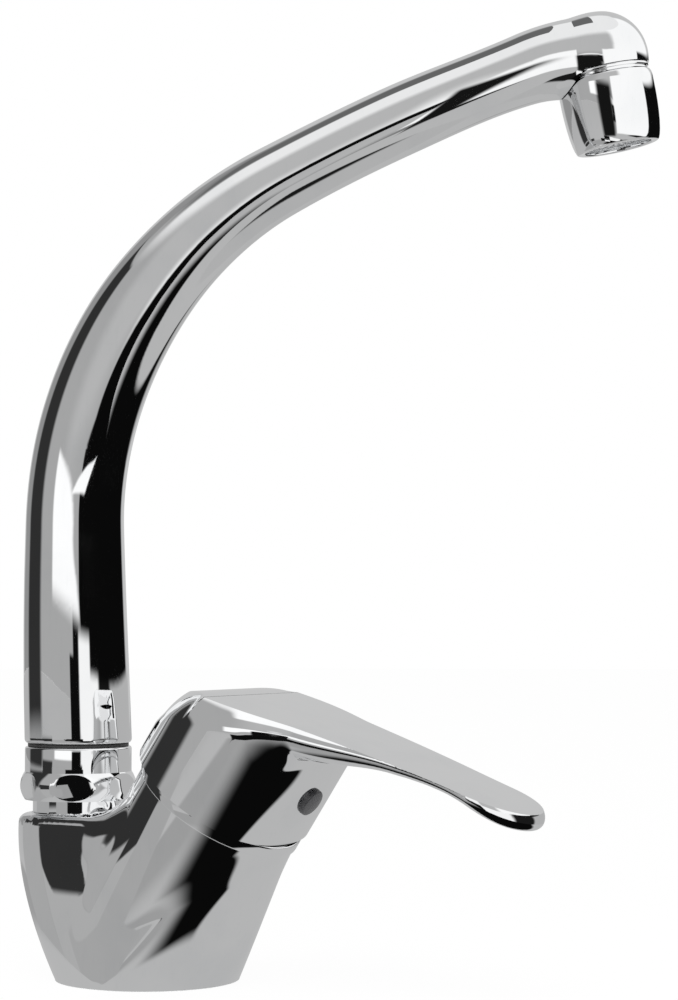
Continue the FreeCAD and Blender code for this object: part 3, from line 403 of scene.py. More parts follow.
@dataclass(frozen=True)
class LappedCeramic(Finish):
    """White alumina with faint specks."""

    speck_share: float = 0.6
    tint_share: float = 0.4

    def paint(self, graph: Graph) -> None:
        """Build the nodes of the finish.

        Args:
            graph: where the nodes go.
        """
        place = graph.place()
        specks = graph.ramp(graph.noise(place, scale=1800.0, detail=2.0), low=0.58, high=0.75)
        tint = graph.noise(place, scale=120.0, detail=3.0)
        marks = specks * self.speck_share + tint * self.tint_share
        graph.principled(
            {
                "Base Color": graph.mix(marks, self.light, self.dark),
                "Roughness": self.roughness(tint),
                "Normal": graph.bump(specks, strength=0.1, distance=0.00001),
            }
        )


# Each finish: slot, dark colour, light colour, least and most roughness

FINISHES: tuple[Finish, ...] = (
    PolishedChrome(Slot.CHROME, (0.84, 0.85, 0.86), (0.9, 0.905, 0.91), 0.015, 0.05),
    MachinedMetal(Slot.BRASS, (0.55, 0.38, 0.15), (0.78, 0.6, 0.3), 0.2, 0.42),
    MachinedMetal(Slot.STEEL, (0.48, 0.48, 0.49), (0.68, 0.68, 0.69), 0.22, 0.45),
    MouldedPlastic(Slot.RUBBER, (0.012, 0.012, 0.012), (0.04, 0.04, 0.041), 0.6, 0.92),
    MouldedPlastic(Slot.CARTRIDGE_PLASTIC, (0.7, 0.71, 0.72), (0.8, 0.81, 0.82), 0.38, 0.6),
    MouldedPlastic(Slot.AERATOR_PLASTIC, (0.46, 0.47, 0.48), (0.6, 0.61, 0.62), 0.32, 0.55),
    MouldedPlastic(Slot.WASHER_PLASTIC, (0.02, 0.02, 0.02), (0.06, 0.06, 0.06), 0.4, 0.6),
    MouldedPlastic(Slot.PLUG_PLASTIC, (0.03, 0.03, 0.032), (0.08, 0.08, 0.085), 0.18, 0.34),
    LappedCeramic(Slot.CERAMIC, (0.78, 0.76, 0.72), (0.9, 0.89, 0.86), 0.12, 0.28),
)


class Wardrobe:
    """Materials by slot, and the way they are put on pieces and CAD nodes."""

    def __init__(self, finishes: Iterable[Finish]) -> None:
        """Make every material once."""
        self.materials = {finish.slot: finish.material() for finish in finishes}

    def dress(self, piece: bpy.types.Object, slot: Slot) -> None:
        """Put a slot's finish on a piece."""
        piece.data.materials.clear()
        piece.data.materials.append(self.materials[slot])

    def dress_nodes(self) -> None:
        """Put each CAD node's finish on it."""
        for row in frame["record"]["subparts"]:
            self.dress(frame["nodes"][row["node"]], Slot(row["material_slot"]))


def link_mesh(shape: bmesh.types.BMesh, name: str) -> bpy.types.Object:
    """Turn a bmesh into an object of the scene.

    Args:
        shape: the bmesh, which is freed.
        name: name of the object.

    Returns:
        The new object.
    """
    mesh = bpy.data.meshes.new(name)
    shape.to_mesh(mesh)
    shape.free()
    made = bpy.data.objects.new(name, mesh)
    bpy.context.scene.collection.objects.link(made)
    return made


# Studio


@dataclass(frozen=True)
class Panel:
    """A soft-edged panel of the studio dome, in degrees round the camera's side and above level."""

    left: float
    right: float
    low: float
    high: float
    grey: float
    side_blur: float
    height_blur: float = 2.0
    low_slope: float = 0.0
    high_slope: float = 0.0
    on_floor: bool = False


@dataclass(frozen=True)
class NearCard:
    """A soft-edged upright card bent round a place near the part, in metres and degrees."""

    name: str
    centre: tuple[float, float]
    reach: float
    left: float
    right: float
    low: float
    high: float
    grey: float
    side_blur: float
    height_blur: float


@dataclass(frozen=True)
class OverheadCard:
    """A level card that only shows from below: its middle, its size and its grey, in metres."""

    name: str
    middle: tuple[float, float, float]
    size: tuple[float, float]
    grey: float
    blur: float


# Places that near cards are bent round

BY_NUT = (-0.024, 0.0)
BY_BODY = (-0.01, 0.0)
BY_HANDLE = (0.04, -0.023)
BY_AERATOR = (0.093, 0.105)


def layered(below: Value, cover: Wire, above: float) -> Wire:
    """A grey laid over another where a cover says so."""
    return (1.0 - cover) * below + cover * above


def window(graph: Graph, value: Value, low: Value, high: Value, blur: float) -> Wire:
    """A soft window: 1 between two bounds and 0 outside.

    Args:
        graph: where the nodes go.
        value: what is tested.
        low: lower bound.
        high: upper bound.
        blur: width of the soft edges.

    Returns:
        The window's value.
    """
    enter = graph.ramp(value - low, -blur / 2, blur / 2)
    leave = graph.ramp(high - value, -blur / 2, blur / 2)
    return enter * leave


@dataclass
class Studio:
    """Camera, floor, world, lamp and the surroundings that the chrome mirrors."""

    camera_place: tuple[float, float, float] = (0.4015, -0.5654, 0.1003)
    camera_turn: tuple[float, float, float] = (92.66, 0.0, 31.0)
    camera_side: float = -59.0
    camera_clip: float = 0.01
    lens: float = 89.28
    sensor: float = 36.0
    world_light: float = 0.8
    lamp_place: tuple[float, float, float] = (0.3, -0.7, 1.1)
    lamp_aim: tuple[float, float, float] = (0.0, 0.0, 0.1)
    lamp_size: float = 0.9
    lamp_energy: float = 9.0
    floor_reach: float = 4.0
    floor_white: float = 0.96
    floor_matt: float = 0.95
    floor_steps: int = 96
    dome_reach: float = 3.0
    dome_steps: tuple[int, int] = (64, 32)
    dome_level: float = 0.12
    dome_grey: float = 0.41
    panels: tuple[Panel, ...] = (
        Panel(-200.0, -150.0, -90.0, 60.0, 0.58, 14.0),
        Panel(-150.0, -112.0, -90.0, 60.0, 0.3, 10.0),
        Panel(-30.0, 40.0, 9.0, 60.0, 0.5, 30.0, 12.0),
        Panel(-90.0, 200.0, 56.0, 95.0, 0.9, 24.0, 14.0),
        Panel(-200.0, -90.0, 60.0, 95.0, 0.14, 30.0, 12.0),
        Panel(27.0, 140.0, 6.5, 62.0, 1.05, 14.0, 1.5),
        Panel(140.0, 200.0, -30.0, 62.0, 0.58, 10.0, 4.0),
        Panel(-47.0, 14.0, 2.0, 14.0, 1.1, 5.0, 1.5, high_slope=-0.19),
        Panel(-1.0, 22.0, -6.0, 1.8, 0.004, 3.0, 1.2, on_floor=True),
        Panel(14.0, 62.0, 3.0, 5.5, 0.003, 2.0, 1.0, low_slope=-0.46),
        Panel(60.0, 142.0, -20.0, 5.5, 0.003, 4.0, 1.0),
    )
    floor_card_reach: float = 2.97
    floor_card_lift: float = 0.0001
    floor_view: float = 0.15
    floor_grey: float = 0.5
    floor_far_grey: float = 0.47
    floor_fade: tuple[float, float] = (0.1, 1.6)
    floor_ring: tuple[float, float] = (0.09, 0.28)
    floor_ring_grey: float = 0.36
    floor_ring_blur: float = 0.06
    floor_ring_side: tuple[float, float] = (-5.0, 25.0)
    patch_near: float = 0.05
    patch_far: float = 0.25
    patch_blur: float = 0.01
    patch_left: float = -7.0
    patch_left_blur: float = 14.0
    patch_right: float = 28.0
    patch_right_blur: float = 3.0
    patch_spread: float = 50.0
    patch_grey: float = 0.003
    card_steps: int = 48
    cards: tuple[NearCard, ...] = (
        NearCard("grey_card_low", BY_NUT, 0.26, 78.0, 150.0, 0.0, 0.086, 0.47, 6.0, 0.006),
        NearCard("dark_card_low", BY_NUT, 0.255, 50.0, 80.0, 0.0, 0.086, 0.01, 6.0, 0.008),
        NearCard("white_card_low", BY_NUT, 0.25, 5.0, 52.0, 0.0, 0.088, 1.0, 6.0, 0.008),
        NearCard("dark_strip_foot", BY_NUT, 0.24, -8.0, 14.0, 0.05, 0.092, 0.004, 2.0, 0.003),
        NearCard("dark_strip_nut", BY_NUT, 0.235, -24.0, 16.0, 0.0, 0.052, 0.004, 2.0, 0.003),
        NearCard("white_card_handle", BY_HANDLE, 0.1, -8.0, 30.0, 0.06, 0.1, 1.0, 6.0, 0.008),
        NearCard("dark_card_left_low", BY_NUT, 0.27, -119.0, -58.0, 0.0, 0.045, 0.03, 8.0, 0.01),
        NearCard("light_card_side", BY_BODY, 0.075, -115.0, -75.0, 0.0, 0.05, 0.41, 3.0, 0.003),
        NearCard("light_card_flat", BY_BODY, 0.076, -76.0, -56.0, 0.0, 0.0425, 0.44, 2.0, 0.002),
        NearCard("dark_card_flat", BY_BODY, 0.08, -77.0, -56.0, 0.038, 0.062, 0.03, 2.0, 0.003),
        NearCard("light_card_neck", BY_BODY, 0.074, -57.0, -30.0, 0.0, 0.058, 0.4, 2.0, 0.006),
        NearCard("dark_card_right", BY_NUT, 0.45, 52.0, 142.0, 0.065, 0.172, 0.003, 12.0, 0.01),
        NearCard("dark_card_left", BY_NUT, 0.28, -119.0, -76.0, 0.05, 0.54, 0.03, 9.0, 0.02),
        NearCard("white_card_by_aerator", BY_AERATOR, 0.1, 1.0, 84.0, 0.206, 0.29, 1.05, 3.0, 0.008),
        NearCard("dark_card_right_of_aerator", BY_AERATOR, 0.1, 83.0, 156.0, 0.206, 0.29, 0.004, 3.0, 0.008),
        NearCard("dark_card_by_aerator", BY_AERATOR, 0.06, -31.0, -2.0, 0.215, 0.264, 0.008, 8.0, 0.008),
    )
    overhead: OverheadCard = OverheadCard(
        "card_over_handle", middle=(0.085, -0.075, 0.145), size=(0.12, 0.09), grey=1.1, blur=0.015
    )

    def build(self) -> None:
        """Set up the whole studio."""
        self.aim_camera()
        self.light_world()
        self.lay_floor()
        self.raise_dome()
        self.lay_floor_card()
        for card in self.cards:
            self.stand(card)
        self.hold_over(self.overhead)
        self.hang_lamp()

    def aim_camera(self) -> None:
        """Place the camera at the photograph's viewpoint."""
        camera = bpy.data.cameras.new("camera")
        camera.lens = self.lens
        camera.sensor_width = self.sensor
        camera.sensor_fit = "AUTO"
        camera.clip_start = self.camera_clip
        holder = bpy.data.objects.new("camera", camera)
        holder.location = self.camera_place
        holder.rotation_euler = Euler([math.radians(angle) for angle in self.camera_turn])
        bpy.context.scene.collection.objects.link(holder)
        bpy.context.scene.camera = holder
        bpy.context.scene.view_settings.view_transform = "Standard"

    def light_world(self) -> None:
        """White behind the part, plain light on it."""
        world = bpy.data.worlds.new("studio_world")
        world.use_nodes = True
        graph = Graph(world.node_tree)
        path = graph.node("ShaderNodeLightPath")
        seen = graph.wire(path, "Is Camera Ray")
        mirrored = graph.wire(path, "Is Glossy Ray") + graph.wire(path, "Is Transmission Ray")
        tint = graph.mix(seen + mirrored, (self.world_light,) * 3, (1.0, 1.0, 1.0))
        shader = graph.wire(graph.node("ShaderNodeBackground", {}, {"Color": tint}))
        graph.node("ShaderNodeOutputWorld", {}, {"Surface": shader})
        bpy.context.scene.world = world

    def lay_floor(self) -> None:
        """A pale floor that keeps a faint shadow."""
        ground = bmesh.new()
        bmesh.ops.create_circle(ground, cap_ends=True, segments=self.floor_steps, radius=self.floor_reach)
        floor = link_mesh(ground, "studio_floor")
        made, graph = blank_material("studio_floor")
        seen = graph.wire(graph.node("ShaderNodeLightPath"), "Is Camera Ray")
        pale = (*(self.floor_matt,) * 3, 1)
        matt = graph.wire(graph.node("ShaderNodeBsdfDiffuse", {}, {"Color": pale}))
        white = graph.emission((1, 1, 1, 1))
        graph.surface(graph.between(seen * self.floor_white, matt, white))
        floor.data.materials.append(made)

    def hang_lamp(self) -> None:
        """One soft lamp over the camera's shoulder for the matt pieces and the shadow."""
        lamp = bpy.data.lights.new("soft_lamp", "AREA")
        lamp.shape = "RECTANGLE"
        lamp.size = self.lamp_size
        lamp.size_y = self.lamp_size
        lamp.energy = self.lamp_energy
        holder = bpy.data.objects.new("soft_lamp", lamp)
        holder.location = self.lamp_place
        aim = Vector(self.lamp_aim) - holder.location
        holder.rotation_euler = aim.to_track_quat("-Z", "Y").to_euler()
        holder.visible_glossy = False
        holder.visible_camera = False
        bpy.context.scene.collection.objects.link(holder)

    def polar(
        self, graph: Graph, level: float, centre: tuple[float, float] = (0.0, 0.0)
    ) -> tuple[Wire, Wire, Wire, Wire]:
        """Side, height and distance of a place as seen from an upright axis.

        Args:
            graph: where the nodes go.
            level: height of the viewpoint.
            centre: place of the axis.

        Returns:
            Degrees round from the camera's side, degrees above level, level distance and height.
        """
        back = math.radians(-self.camera_side)
        shift = Matrix.Rotation(back, 3, "Z") @ Vector((*centre, level))
        inputs = {"Vector": graph.spot(), "Location": tuple(-shift), "Rotation": (0, 0, back)}
        turned = graph.wire(graph.node("ShaderNodeMapping", {}, inputs))
        ahead, aside, above = graph.split(turned)
        out = (ahead * ahead + aside * aside) ** 0.5
        return graph.angle(aside, ahead), graph.angle(above, out), out, above

    def put_up(self, card: bpy.types.Object, made: bpy.types.Material) -> None:
        """Dress a card and let only reflections see it.

        Args:
            card: the card.
            made: its material.
        """
        card.data.materials.append(made)
        for ray in ("camera", "diffuse", "shadow", "transmission", "volume_scatter"):
            setattr(card, f"visible_{ray}", False)

    def shine(self, graph: Graph, grey: Value) -> None:
        """Finish a graph with a grey that covers everything."""
        colour = graph.wire(graph.node("ShaderNodeCombineColor", {}, {0: grey, 1: grey, 2: grey}))
        graph.surface(graph.emission(colour))

    def shine_within(self, graph: Graph, grey: float, cover: Wire) -> None:
        """Finish a graph with a grey that is clear where a cover is 0.

        Args:
            graph: where the nodes go.
            grey: the card's grey.
            cover: how much of it shows.
        """
        light = graph.emission((grey, grey, grey, 1.0))
        clear = graph.wire(graph.node("ShaderNodeBsdfTransparent"))
        graph.surface(graph.between(cover, clear, light))

    def laid(self, graph: Graph, panel: Panel, side: Wire, height: Wire, grey: Value) -> Wire:
        """Lay a panel over what is there.

        Args:
            graph: where the nodes go.
            panel: the panel.
            side: degrees round from the camera's side.
            height: degrees above level.
            grey: what is there.

        Returns:
            The grey with the panel over it.
        """
        low = (side - panel.left) * panel.low_slope + panel.low
        high = (side - panel.left) * panel.high_slope + panel.high
        across = window(graph, side, panel.left, panel.right, panel.side_blur)
        up = window(graph, height, low, high, panel.height_blur)
        return layered(grey, across * up, panel.grey)

    def raise_dome(self) -> None:
        """The far surroundings: a dome with soft panels."""
        shape = bmesh.new()
        round_steps, height_steps = self.dome_steps
        bmesh.ops.create_uvsphere(
            shape, u_segments=round_steps, v_segments=height_steps, radius=self.dome_reach
        )
        dome = link_mesh(shape, "studio_dome")
        made, graph = blank_material("studio_dome")
        side, height, _, _ = self.polar(graph, self.dome_level)
        grey: Value = self.dome_grey
        for panel in self.panels:
            grey = self.laid(graph, panel, side, height, grey)
        self.shine(graph, grey)
        self.put_up(dome, made)

    def lay_floor_card(self) -> None:
        """The floor as the chrome mirrors it: grey, with a darker ring and a black patch by the part."""
        shape = bmesh.new()
        lift = Matrix.Translation((0, 0, self.floor_card_lift))
        bmesh.ops.create_circle(
            shape, cap_ends=True, segments=self.floor_steps, radius=self.floor_card_reach, matrix=lift
        )
        card = link_mesh(shape, "floor_card")
        made, graph = blank_material("floor_card")
        side, height, out, _ = self.polar(graph, self.floor_view)
        plain = layered(self.floor_grey, graph.ramp(out, *self.floor_fade), self.floor_far_grey)
        ring_side = graph.ramp(side * -1.0, *self.floor_ring_side)
        ring = window(graph, out, *self.floor_ring, self.floor_ring_blur) * ring_side
        plain = layered(plain, ring, self.floor_ring_grey)
        blur = self.patch_left_blur
        left = graph.ramp(side, self.patch_left - blur, self.patch_left + blur)
        widening = graph.ramp(out, self.patch_near, 2 * self.patch_near)
        limit = widening * self.patch_spread + self.patch_right
        right = graph.ramp(limit - side, -self.patch_right_blur, self.patch_right_blur)
        near = window(graph, out, self.patch_near, self.patch_far, self.patch_blur)
        patch = left * right * near
        grey = (1.0 - patch) * plain + self.patch_grey
        for panel in self.panels:
            if panel.on_floor:
                grey = self.laid(graph, panel, side, height, grey)
        self.shine(graph, grey)
        self.put_up(card, made)

    def stand(self, card: NearCard) -> None:
        """Stand a near card that fades out towards its edges.

        Args:
            card: its place, size and grey.
        """
        shape = bmesh.new()
        start = math.radians(self.camera_side + card.left - card.side_blur)
        middle = Vector((*card.centre, 0))
        foot = middle + Vector((math.cos(start), math.sin(start), 0)) * card.reach
        heights = (card.low - card.height_blur, card.high + card.height_blur)
        ends = [shape.verts.new(foot + Vector((0, 0, height))) for height in heights]
        edge = shape.edges.new(ends)
        turn = math.radians(card.right - card.left + 2 * card.side_blur)
        bmesh.ops.spin(
            shape, geom=[*ends, edge], cent=middle, axis=(0, 0, 1), angle=turn, steps=self.card_steps
        )
        board = link_mesh(shape, card.name)
        made, graph = blank_material(card.name)
        side, _, _, height = self.polar(graph, 0.0, card.centre)
        across = window(graph, side, card.left, card.right, card.side_blur)
        up = window(graph, height, card.low, card.high, card.height_blur)
        self.shine_within(graph, card.grey, across * up)
        self.put_up(board, made)

    def hold_over(self, card: OverheadCard) -> None:
        """Hold a level card over the part.

        Args:
            card: its place, size and grey.
        """
        shape = bmesh.new()
        place = Matrix.Translation(card.middle) @ Matrix.Diagonal((*card.size, -1, 1))
        bmesh.ops.create_grid(shape, x_segments=1, y_segments=1, size=0.5, matrix=place)
        bmesh.ops.reverse_faces(shape, faces=shape.faces)
        board = link_mesh(shape, card.name)
        made, graph = blank_material(card.name)
        cover = 1.0 - graph.wire(graph.node("ShaderNodeNewGeometry"), "Backfacing")
        for spot, middle, width in zip(graph.split(graph.spot()), card.middle, card.size):
            reach = width / 2 - card.blur / 2
            cover = window(graph, spot, middle - reach, middle + reach, card.blur) * cover
        self.shine_within(graph, card.grey, cover)
        self.put_up(board, made)


# Smooth forms, as distances in millimetres: below zero inside, above zero outside

Points = np.ndarray
Distances = np.ndarray
Form = Callable[[Points], Distances]
Size = Union[float, np.ndarray]


def joined(first: Distances, second: Distances, fillet: Size) -> Distances:
    """Both forms together, with a fillet in the inner corner."""
    corner = np.hypot(np.maximum(fillet - first, 0), np.maximum(fillet - second, 0))
    return np.maximum(fillet, np.minimum(first, second)) - corner


def common(first: Distances, second: Distances, rounding: Size) -> Distances:
    """What two forms share, with the outer edge rounded."""
    edge = np.hypot(np.maximum(first + rounding, 0), np.maximum(second + rounding, 0))
    return np.minimum(-rounding, np.maximum(first, second)) + edge


def smooth_step(value: np.ndarray, low: float, high: float) -> np.ndarray:
    """A soft change from 0 to 1 between two bounds."""
    share = np.clip((value - low) / (high - low), 0, 1)
    return share * share * (3 - 2 * share)


def between(start: Size, end: Size, share: np.ndarray) -> np.ndarray:
    """A size part of the way from one to another."""
    return start + (end - start) * share


def through_stops(stops: Stops, place: np.ndarray) -> np.ndarray:
    """A smooth curve through given stops.

    Args:
        stops: places and the values there.
        place: where the curve is read.

    Returns:
        The curve's values.
    """
    table = np.array(stops)
    slopes = np.gradient(table[:, 1], table[:, 0])
    index = np.clip(np.searchsorted(table[:, 0], place) - 1, 0, len(table) - 2)
    width = table[index + 1, 0] - table[index, 0]
    share = np.clip((place - table[index, 0]) / width, 0, 1)
    rise = share * share * (3 - 2 * share)
    value = table[index, 1] * (1 - rise) + table[index + 1, 1] * rise
    bend = slopes[index] * (share - 1) ** 2 * share + slopes[index + 1] * (share - 1) * share ** 2
    return value + bend * width


def stop_value(stops: Stops, place: float) -> float:
    """The value at one place of a smooth curve through given stops."""
    return float(through_stops(stops, np.array([place]))[0])


def in_frame(points: Points, place: Matrix) -> Points:
    """Points as seen from a local frame."""
    back = np.array(place.inverted())
    return points @ back[:3, :3].T + back[:3, 3]


# Bench tools


class Bench:
    """Modelling steps that several pieces share."""

    PROBE = 0.02
    LEAST_SLOPE = 0.3
    SHARP = math.radians(24.0)
    MERGE = 0.0005
    ON_CIRCLE = 0.002
    ON_PLANE = 0.0001
    BEVEL_STEPS = 4
    SLAB_STEPS = 8

    @staticmethod
    def turned(outline: Outline, rounds: dict[int, float], steps: int = 144) -> bmesh.types.BMesh:
        """Spin a closed half-section round the local Z axis.

        Args:
            outline: radius and height of each corner.
            rounds: edge radius by corner number.
            steps: faces round the axis.

        Returns:
            The turned shape.
        """
        shape = bmesh.new()
        corners = [shape.verts.new((radius, 0, height)) for radius, height in outline]
        edges = [shape.edges.new(pair) for pair in zip(corners, corners[1:] + corners[:1])]
        bmesh.ops.spin(
            shape,
            geom=corners + edges,
            cent=(0, 0, 0),
            axis=(0, 0, 1),
            angle=FULL_TURN,
            steps=steps,
            use_merge=True,
        )
        bmesh.ops.remove_doubles(shape, verts=shape.verts, dist=Bench.MERGE)
        bmesh.ops.recalc_face_normals(shape, faces=shape.faces)
        for corner, radius in rounds.items():
            bmesh.ops.bevel(
                shape,
                geom=Bench.ring_edges(shape, *outline[corner]),
                offset=radius,
                offset_type="OFFSET",
                affect="EDGES",
                segments=Bench.BEVEL_STEPS,
                profile=0.5,
                material=-1,
                clamp_overlap=True,
            )
        return shape

    @staticmethod
    def ring_edges(shape: bmesh.types.BMesh, radius: float, height: float) -> list[bmesh.types.BMEdge]:
        """Edges of a turned shape that lie on one circle.

        Args:
            shape: the turned shape.
            radius: radius of the circle.
            height: height of the circle.

        Returns:
            The circle's edges.
        """

        def on_circle(vert: bmesh.types.BMVert) -> bool:
            """Whether a vertex lies on the circle."""
            off = (vert.co.xy.length - radius, vert.co.z - height)
            return all(abs(distance) < Bench.ON_CIRCLE for distance in off)

        return [edge for edge in shape.edges if all(on_circle(vert) for vert in edge.verts)]

    @staticmethod
    def rod(radius: float, low: float, high: float, place: Matrix, steps: int = 128) -> bmesh.types.BMesh:
        """A round bar along the local Z axis.

        Args:
            radius: its radius.
            low: its lower end.
            high: its upper end.
            place: frame it lies in.
            steps: faces round it.

        Returns:
            The bar.
        """
        shape = bmesh.new()
        middle = place @ Matrix.Translation((0, 0, (low + high) / 2))
        bmesh.ops.create_cone(
            shape,
            cap_ends=True,
            segments=steps,
            radius1=radius,
            radius2=radius,
            depth=high - low,
            matrix=middle,
        )
        return shape

    @staticmethod
    def slab(radius: float, low: float, high: float, place: Matrix) -> bmesh.types.BMesh:
        """A wide rough bar that cuts everything between two levels."""
        return Bench.rod(radius, low, high, place, Bench.SLAB_STEPS)

    @staticmethod
    def loft(rings: Iterable[tuple[float, Matrix]], steps: int) -> bmesh.types.BMesh:
        """A closed tube through circles.

        Args:
            rings: radius and frame of each circle.
            steps: corners of each circle.

        Returns:
            The tube.
        """
        shape = bmesh.new()
        loops = []
        for radius, place in rings:
            corners = bmesh.ops.create_circle(shape, segments=steps, radius=radius, matrix=place)["verts"]
            loops.append(list({edge for vert in corners for edge in vert.link_edges}))
        for lower, upper in zip(loops, loops[1:]):
            bmesh.ops.bridge_loops(shape, edges=lower + upper)
        for loop in (loops[0], loops[-1]):
            bmesh.ops.contextual_create(shape, geom=loop)
        bmesh.ops.recalc_face_normals(shape, faces=shape.faces)
        return shape

    @staticmethod
    def prism(outline: Sequence[Sequence[float]], push: Sequence[float]) -> bmesh.types.BMesh:
        """A flat outline pushed into a solid.

        Args:
            outline: corners of the flat face.
            push: how far and where it is pushed.

        Returns:
            The solid.
        """
        shape = bmesh.new()
        face = shape.faces.new([shape.verts.new(corner) for corner in outline])
        pushed = bmesh.ops.extrude_face_region(shape, geom=[face])["geom"]
        moved = [part for part in pushed if isinstance(part, bmesh.types.BMVert)]
        bmesh.ops.translate(shape, verts=moved, vec=push)
        bmesh.ops.recalc_face_normals(shape, faces=shape.faces)
        return shape

    @staticmethod
    def trim(shape: bmesh.types.BMesh, place: Matrix, forward: float) -> None:
        """Cut off what lies past a distance along a frame's X axis and close the cut.

        Args:
            shape: what is cut.
            place: the frame.
            forward: where the cut lies.
        """
        made = bmesh.ops.bisect_plane(
            shape,
            geom=[*shape.verts, *shape.edges, *shape.faces],
            dist=Bench.ON_PLANE,
            plane_co=place @ Vector((forward, 0, 0)),
            plane_no=place.to_3x3() @ Vector((1, 0, 0)),
            clear_outer=True,
        )["geom_cut"]
        rim = [part for part in made if isinstance(part, bmesh.types.BMEdge)]
        bmesh.ops.contextual_create(shape, geom=rim)
        bmesh.ops.recalc_face_normals(shape, faces=shape.faces)

    @staticmethod
    def joint(*shapes: bmesh.types.BMesh) -> bmesh.types.BMesh:
        """Several shapes in one, as separate shells.

        Args:
            shapes: what is put together; all but the first are freed.

        Returns:
            The first shape with the others in it.
        """
        first = shapes[0]
        for other in shapes[1:]:
            carrier = bpy.data.meshes.new("carrier")
            other.to_mesh(carrier)
            other.free()
            first.from_mesh(carrier)
            bpy.data.meshes.remove(carrier)
        return first

    @staticmethod
    def add_shells(piece: bpy.types.Object, *shapes: bmesh.types.BMesh) -> None:
        """Put further shells into a piece.

        Args:
            piece: what they are added to.
            shapes: the shells, which are freed.
        """
        whole = bmesh.new()
        whole.from_mesh(piece.data)
        Bench.joint(whole, *shapes).to_mesh(piece.data)
        whole.free()

    @staticmethod
    def bake(piece: bpy.types.Object) -> None:
        """Apply a piece's modifiers to its mesh.

        Args:
            piece: the piece.
        """
        graph = bpy.context.evaluated_depsgraph_get()
        graph.update()
        done = bpy.data.meshes.new_from_object(piece.evaluated_get(graph))
        old = piece.data
        piece.modifiers.clear()
        piece.data = done
        bpy.data.meshes.remove(old)

    @staticmethod
    def skin(piece: bpy.types.Object, cell: float) -> None:
        """Merge a piece's overlapping shells into one even skin.

        Args:
            piece: what is merged.
            cell: size of a face.
        """
        remesh = piece.modifiers.new("skin", "REMESH")
        remesh.mode = "VOXEL"
        remesh.voxel_size = cell
        Bench.bake(piece)

    @staticmethod
    def carve(piece: bpy.types.Object, tool: bmesh.types.BMesh, operation: str = "DIFFERENCE") -> None:
        """Cut a tool out of a piece.

        Args:
            piece: what is cut.
            tool: the closed shape of the tool.
            operation: Boolean operation.
        """
        cutter = link_mesh(tool, "tool")
        cut = piece.modifiers.new("cut", "BOOLEAN")
        cut.object = cutter
        cut.operation = operation
        cut.solver = "MANIFOLD"
        Bench.bake(piece)
        mesh = cutter.data
        bpy.data.objects.remove(cutter)
        bpy.data.meshes.remove(mesh)

    @staticmethod
    def settle(piece: bpy.types.Object, form: Form, rounds: int = 3, relax: int = 4) -> None:
        """Even out a skin and lay its vertices on a smooth form.

        Args:
            piece: the skin.
            form: distances to the form.
            rounds: how often it is evened out and laid on.
            relax: smoothing passes in each round.
        """
        shape = bmesh.new()
        shape.from_mesh(piece.data)
        axes = {f"use_axis_{axis}": True for axis in "xyz"}
        for _ in range(rounds):
            for _ in range(relax):
                bmesh.ops.smooth_vert(shape, verts=shape.verts, factor=0.5, **axes)
            shape.to_mesh(piece.data)
            points = np.empty(len(piece.data.vertices) * 3)
            piece.data.vertices.foreach_get("co", points)
            points = Bench.laid_on(points.reshape(-1, 3), form)
            piece.data.vertices.foreach_set("co", points.ravel())
            piece.data.update()
            shape.clear()
            shape.from_mesh(piece.data)
        shape.free()

    @staticmethod
    def laid_on(points: Points, form: Form, passes: int = 4) -> Points:
        """Points moved along the slope of a form until they lie on it.

        Args:
            points: where they start.
            form: distances to the form.
            passes: how often they are moved.

        Returns:
            The moved points.
        """
        probes = np.eye(3) * Bench.PROBE
        for _ in range(passes):
            slope = np.stack([form(points + probe) - form(points - probe) for probe in probes], axis=1)
            slope /= 2 * Bench.PROBE
            steep = np.maximum((slope ** 2).sum(axis=1), Bench.LEAST_SLOPE)
            points = points - slope * (form(points) / steep)[:, None]
        return points

    @staticmethod
    def complete(piece: bpy.types.Object) -> bpy.types.Object:
        """Scale a piece to metres and shade it smooth between its sharp edges.

        Args:
            piece: the finished shape, in millimetres.

        Returns:
            The piece.
        """
        piece.data.transform(Matrix.Scale(MM, 4))
        piece.data.shade_smooth()
        piece.data.set_sharp_from_angle(angle=Bench.SHARP)
        return piece


@dataclass
class Assembly:
    """Puts finished pieces in place of their CAD nodes."""

    wardrobe: Wardrobe

    def fit(self, piece: bpy.types.Object, node: str, body: RigidBody, slot: Slot) -> None:
        """Dress a piece and let it stand for a CAD node.

        Args:
            piece: the finished piece.
            node: the CAD node it stands for.
            body: the body it rides on.
            slot: its finish.
        """
        self.wardrobe.dress(piece, slot)
        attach(piece, body.value)
        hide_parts(node)
        LOG.info("%s stands for %s: %d faces", piece.name, node, len(piece.data.polygons))


# Cast body


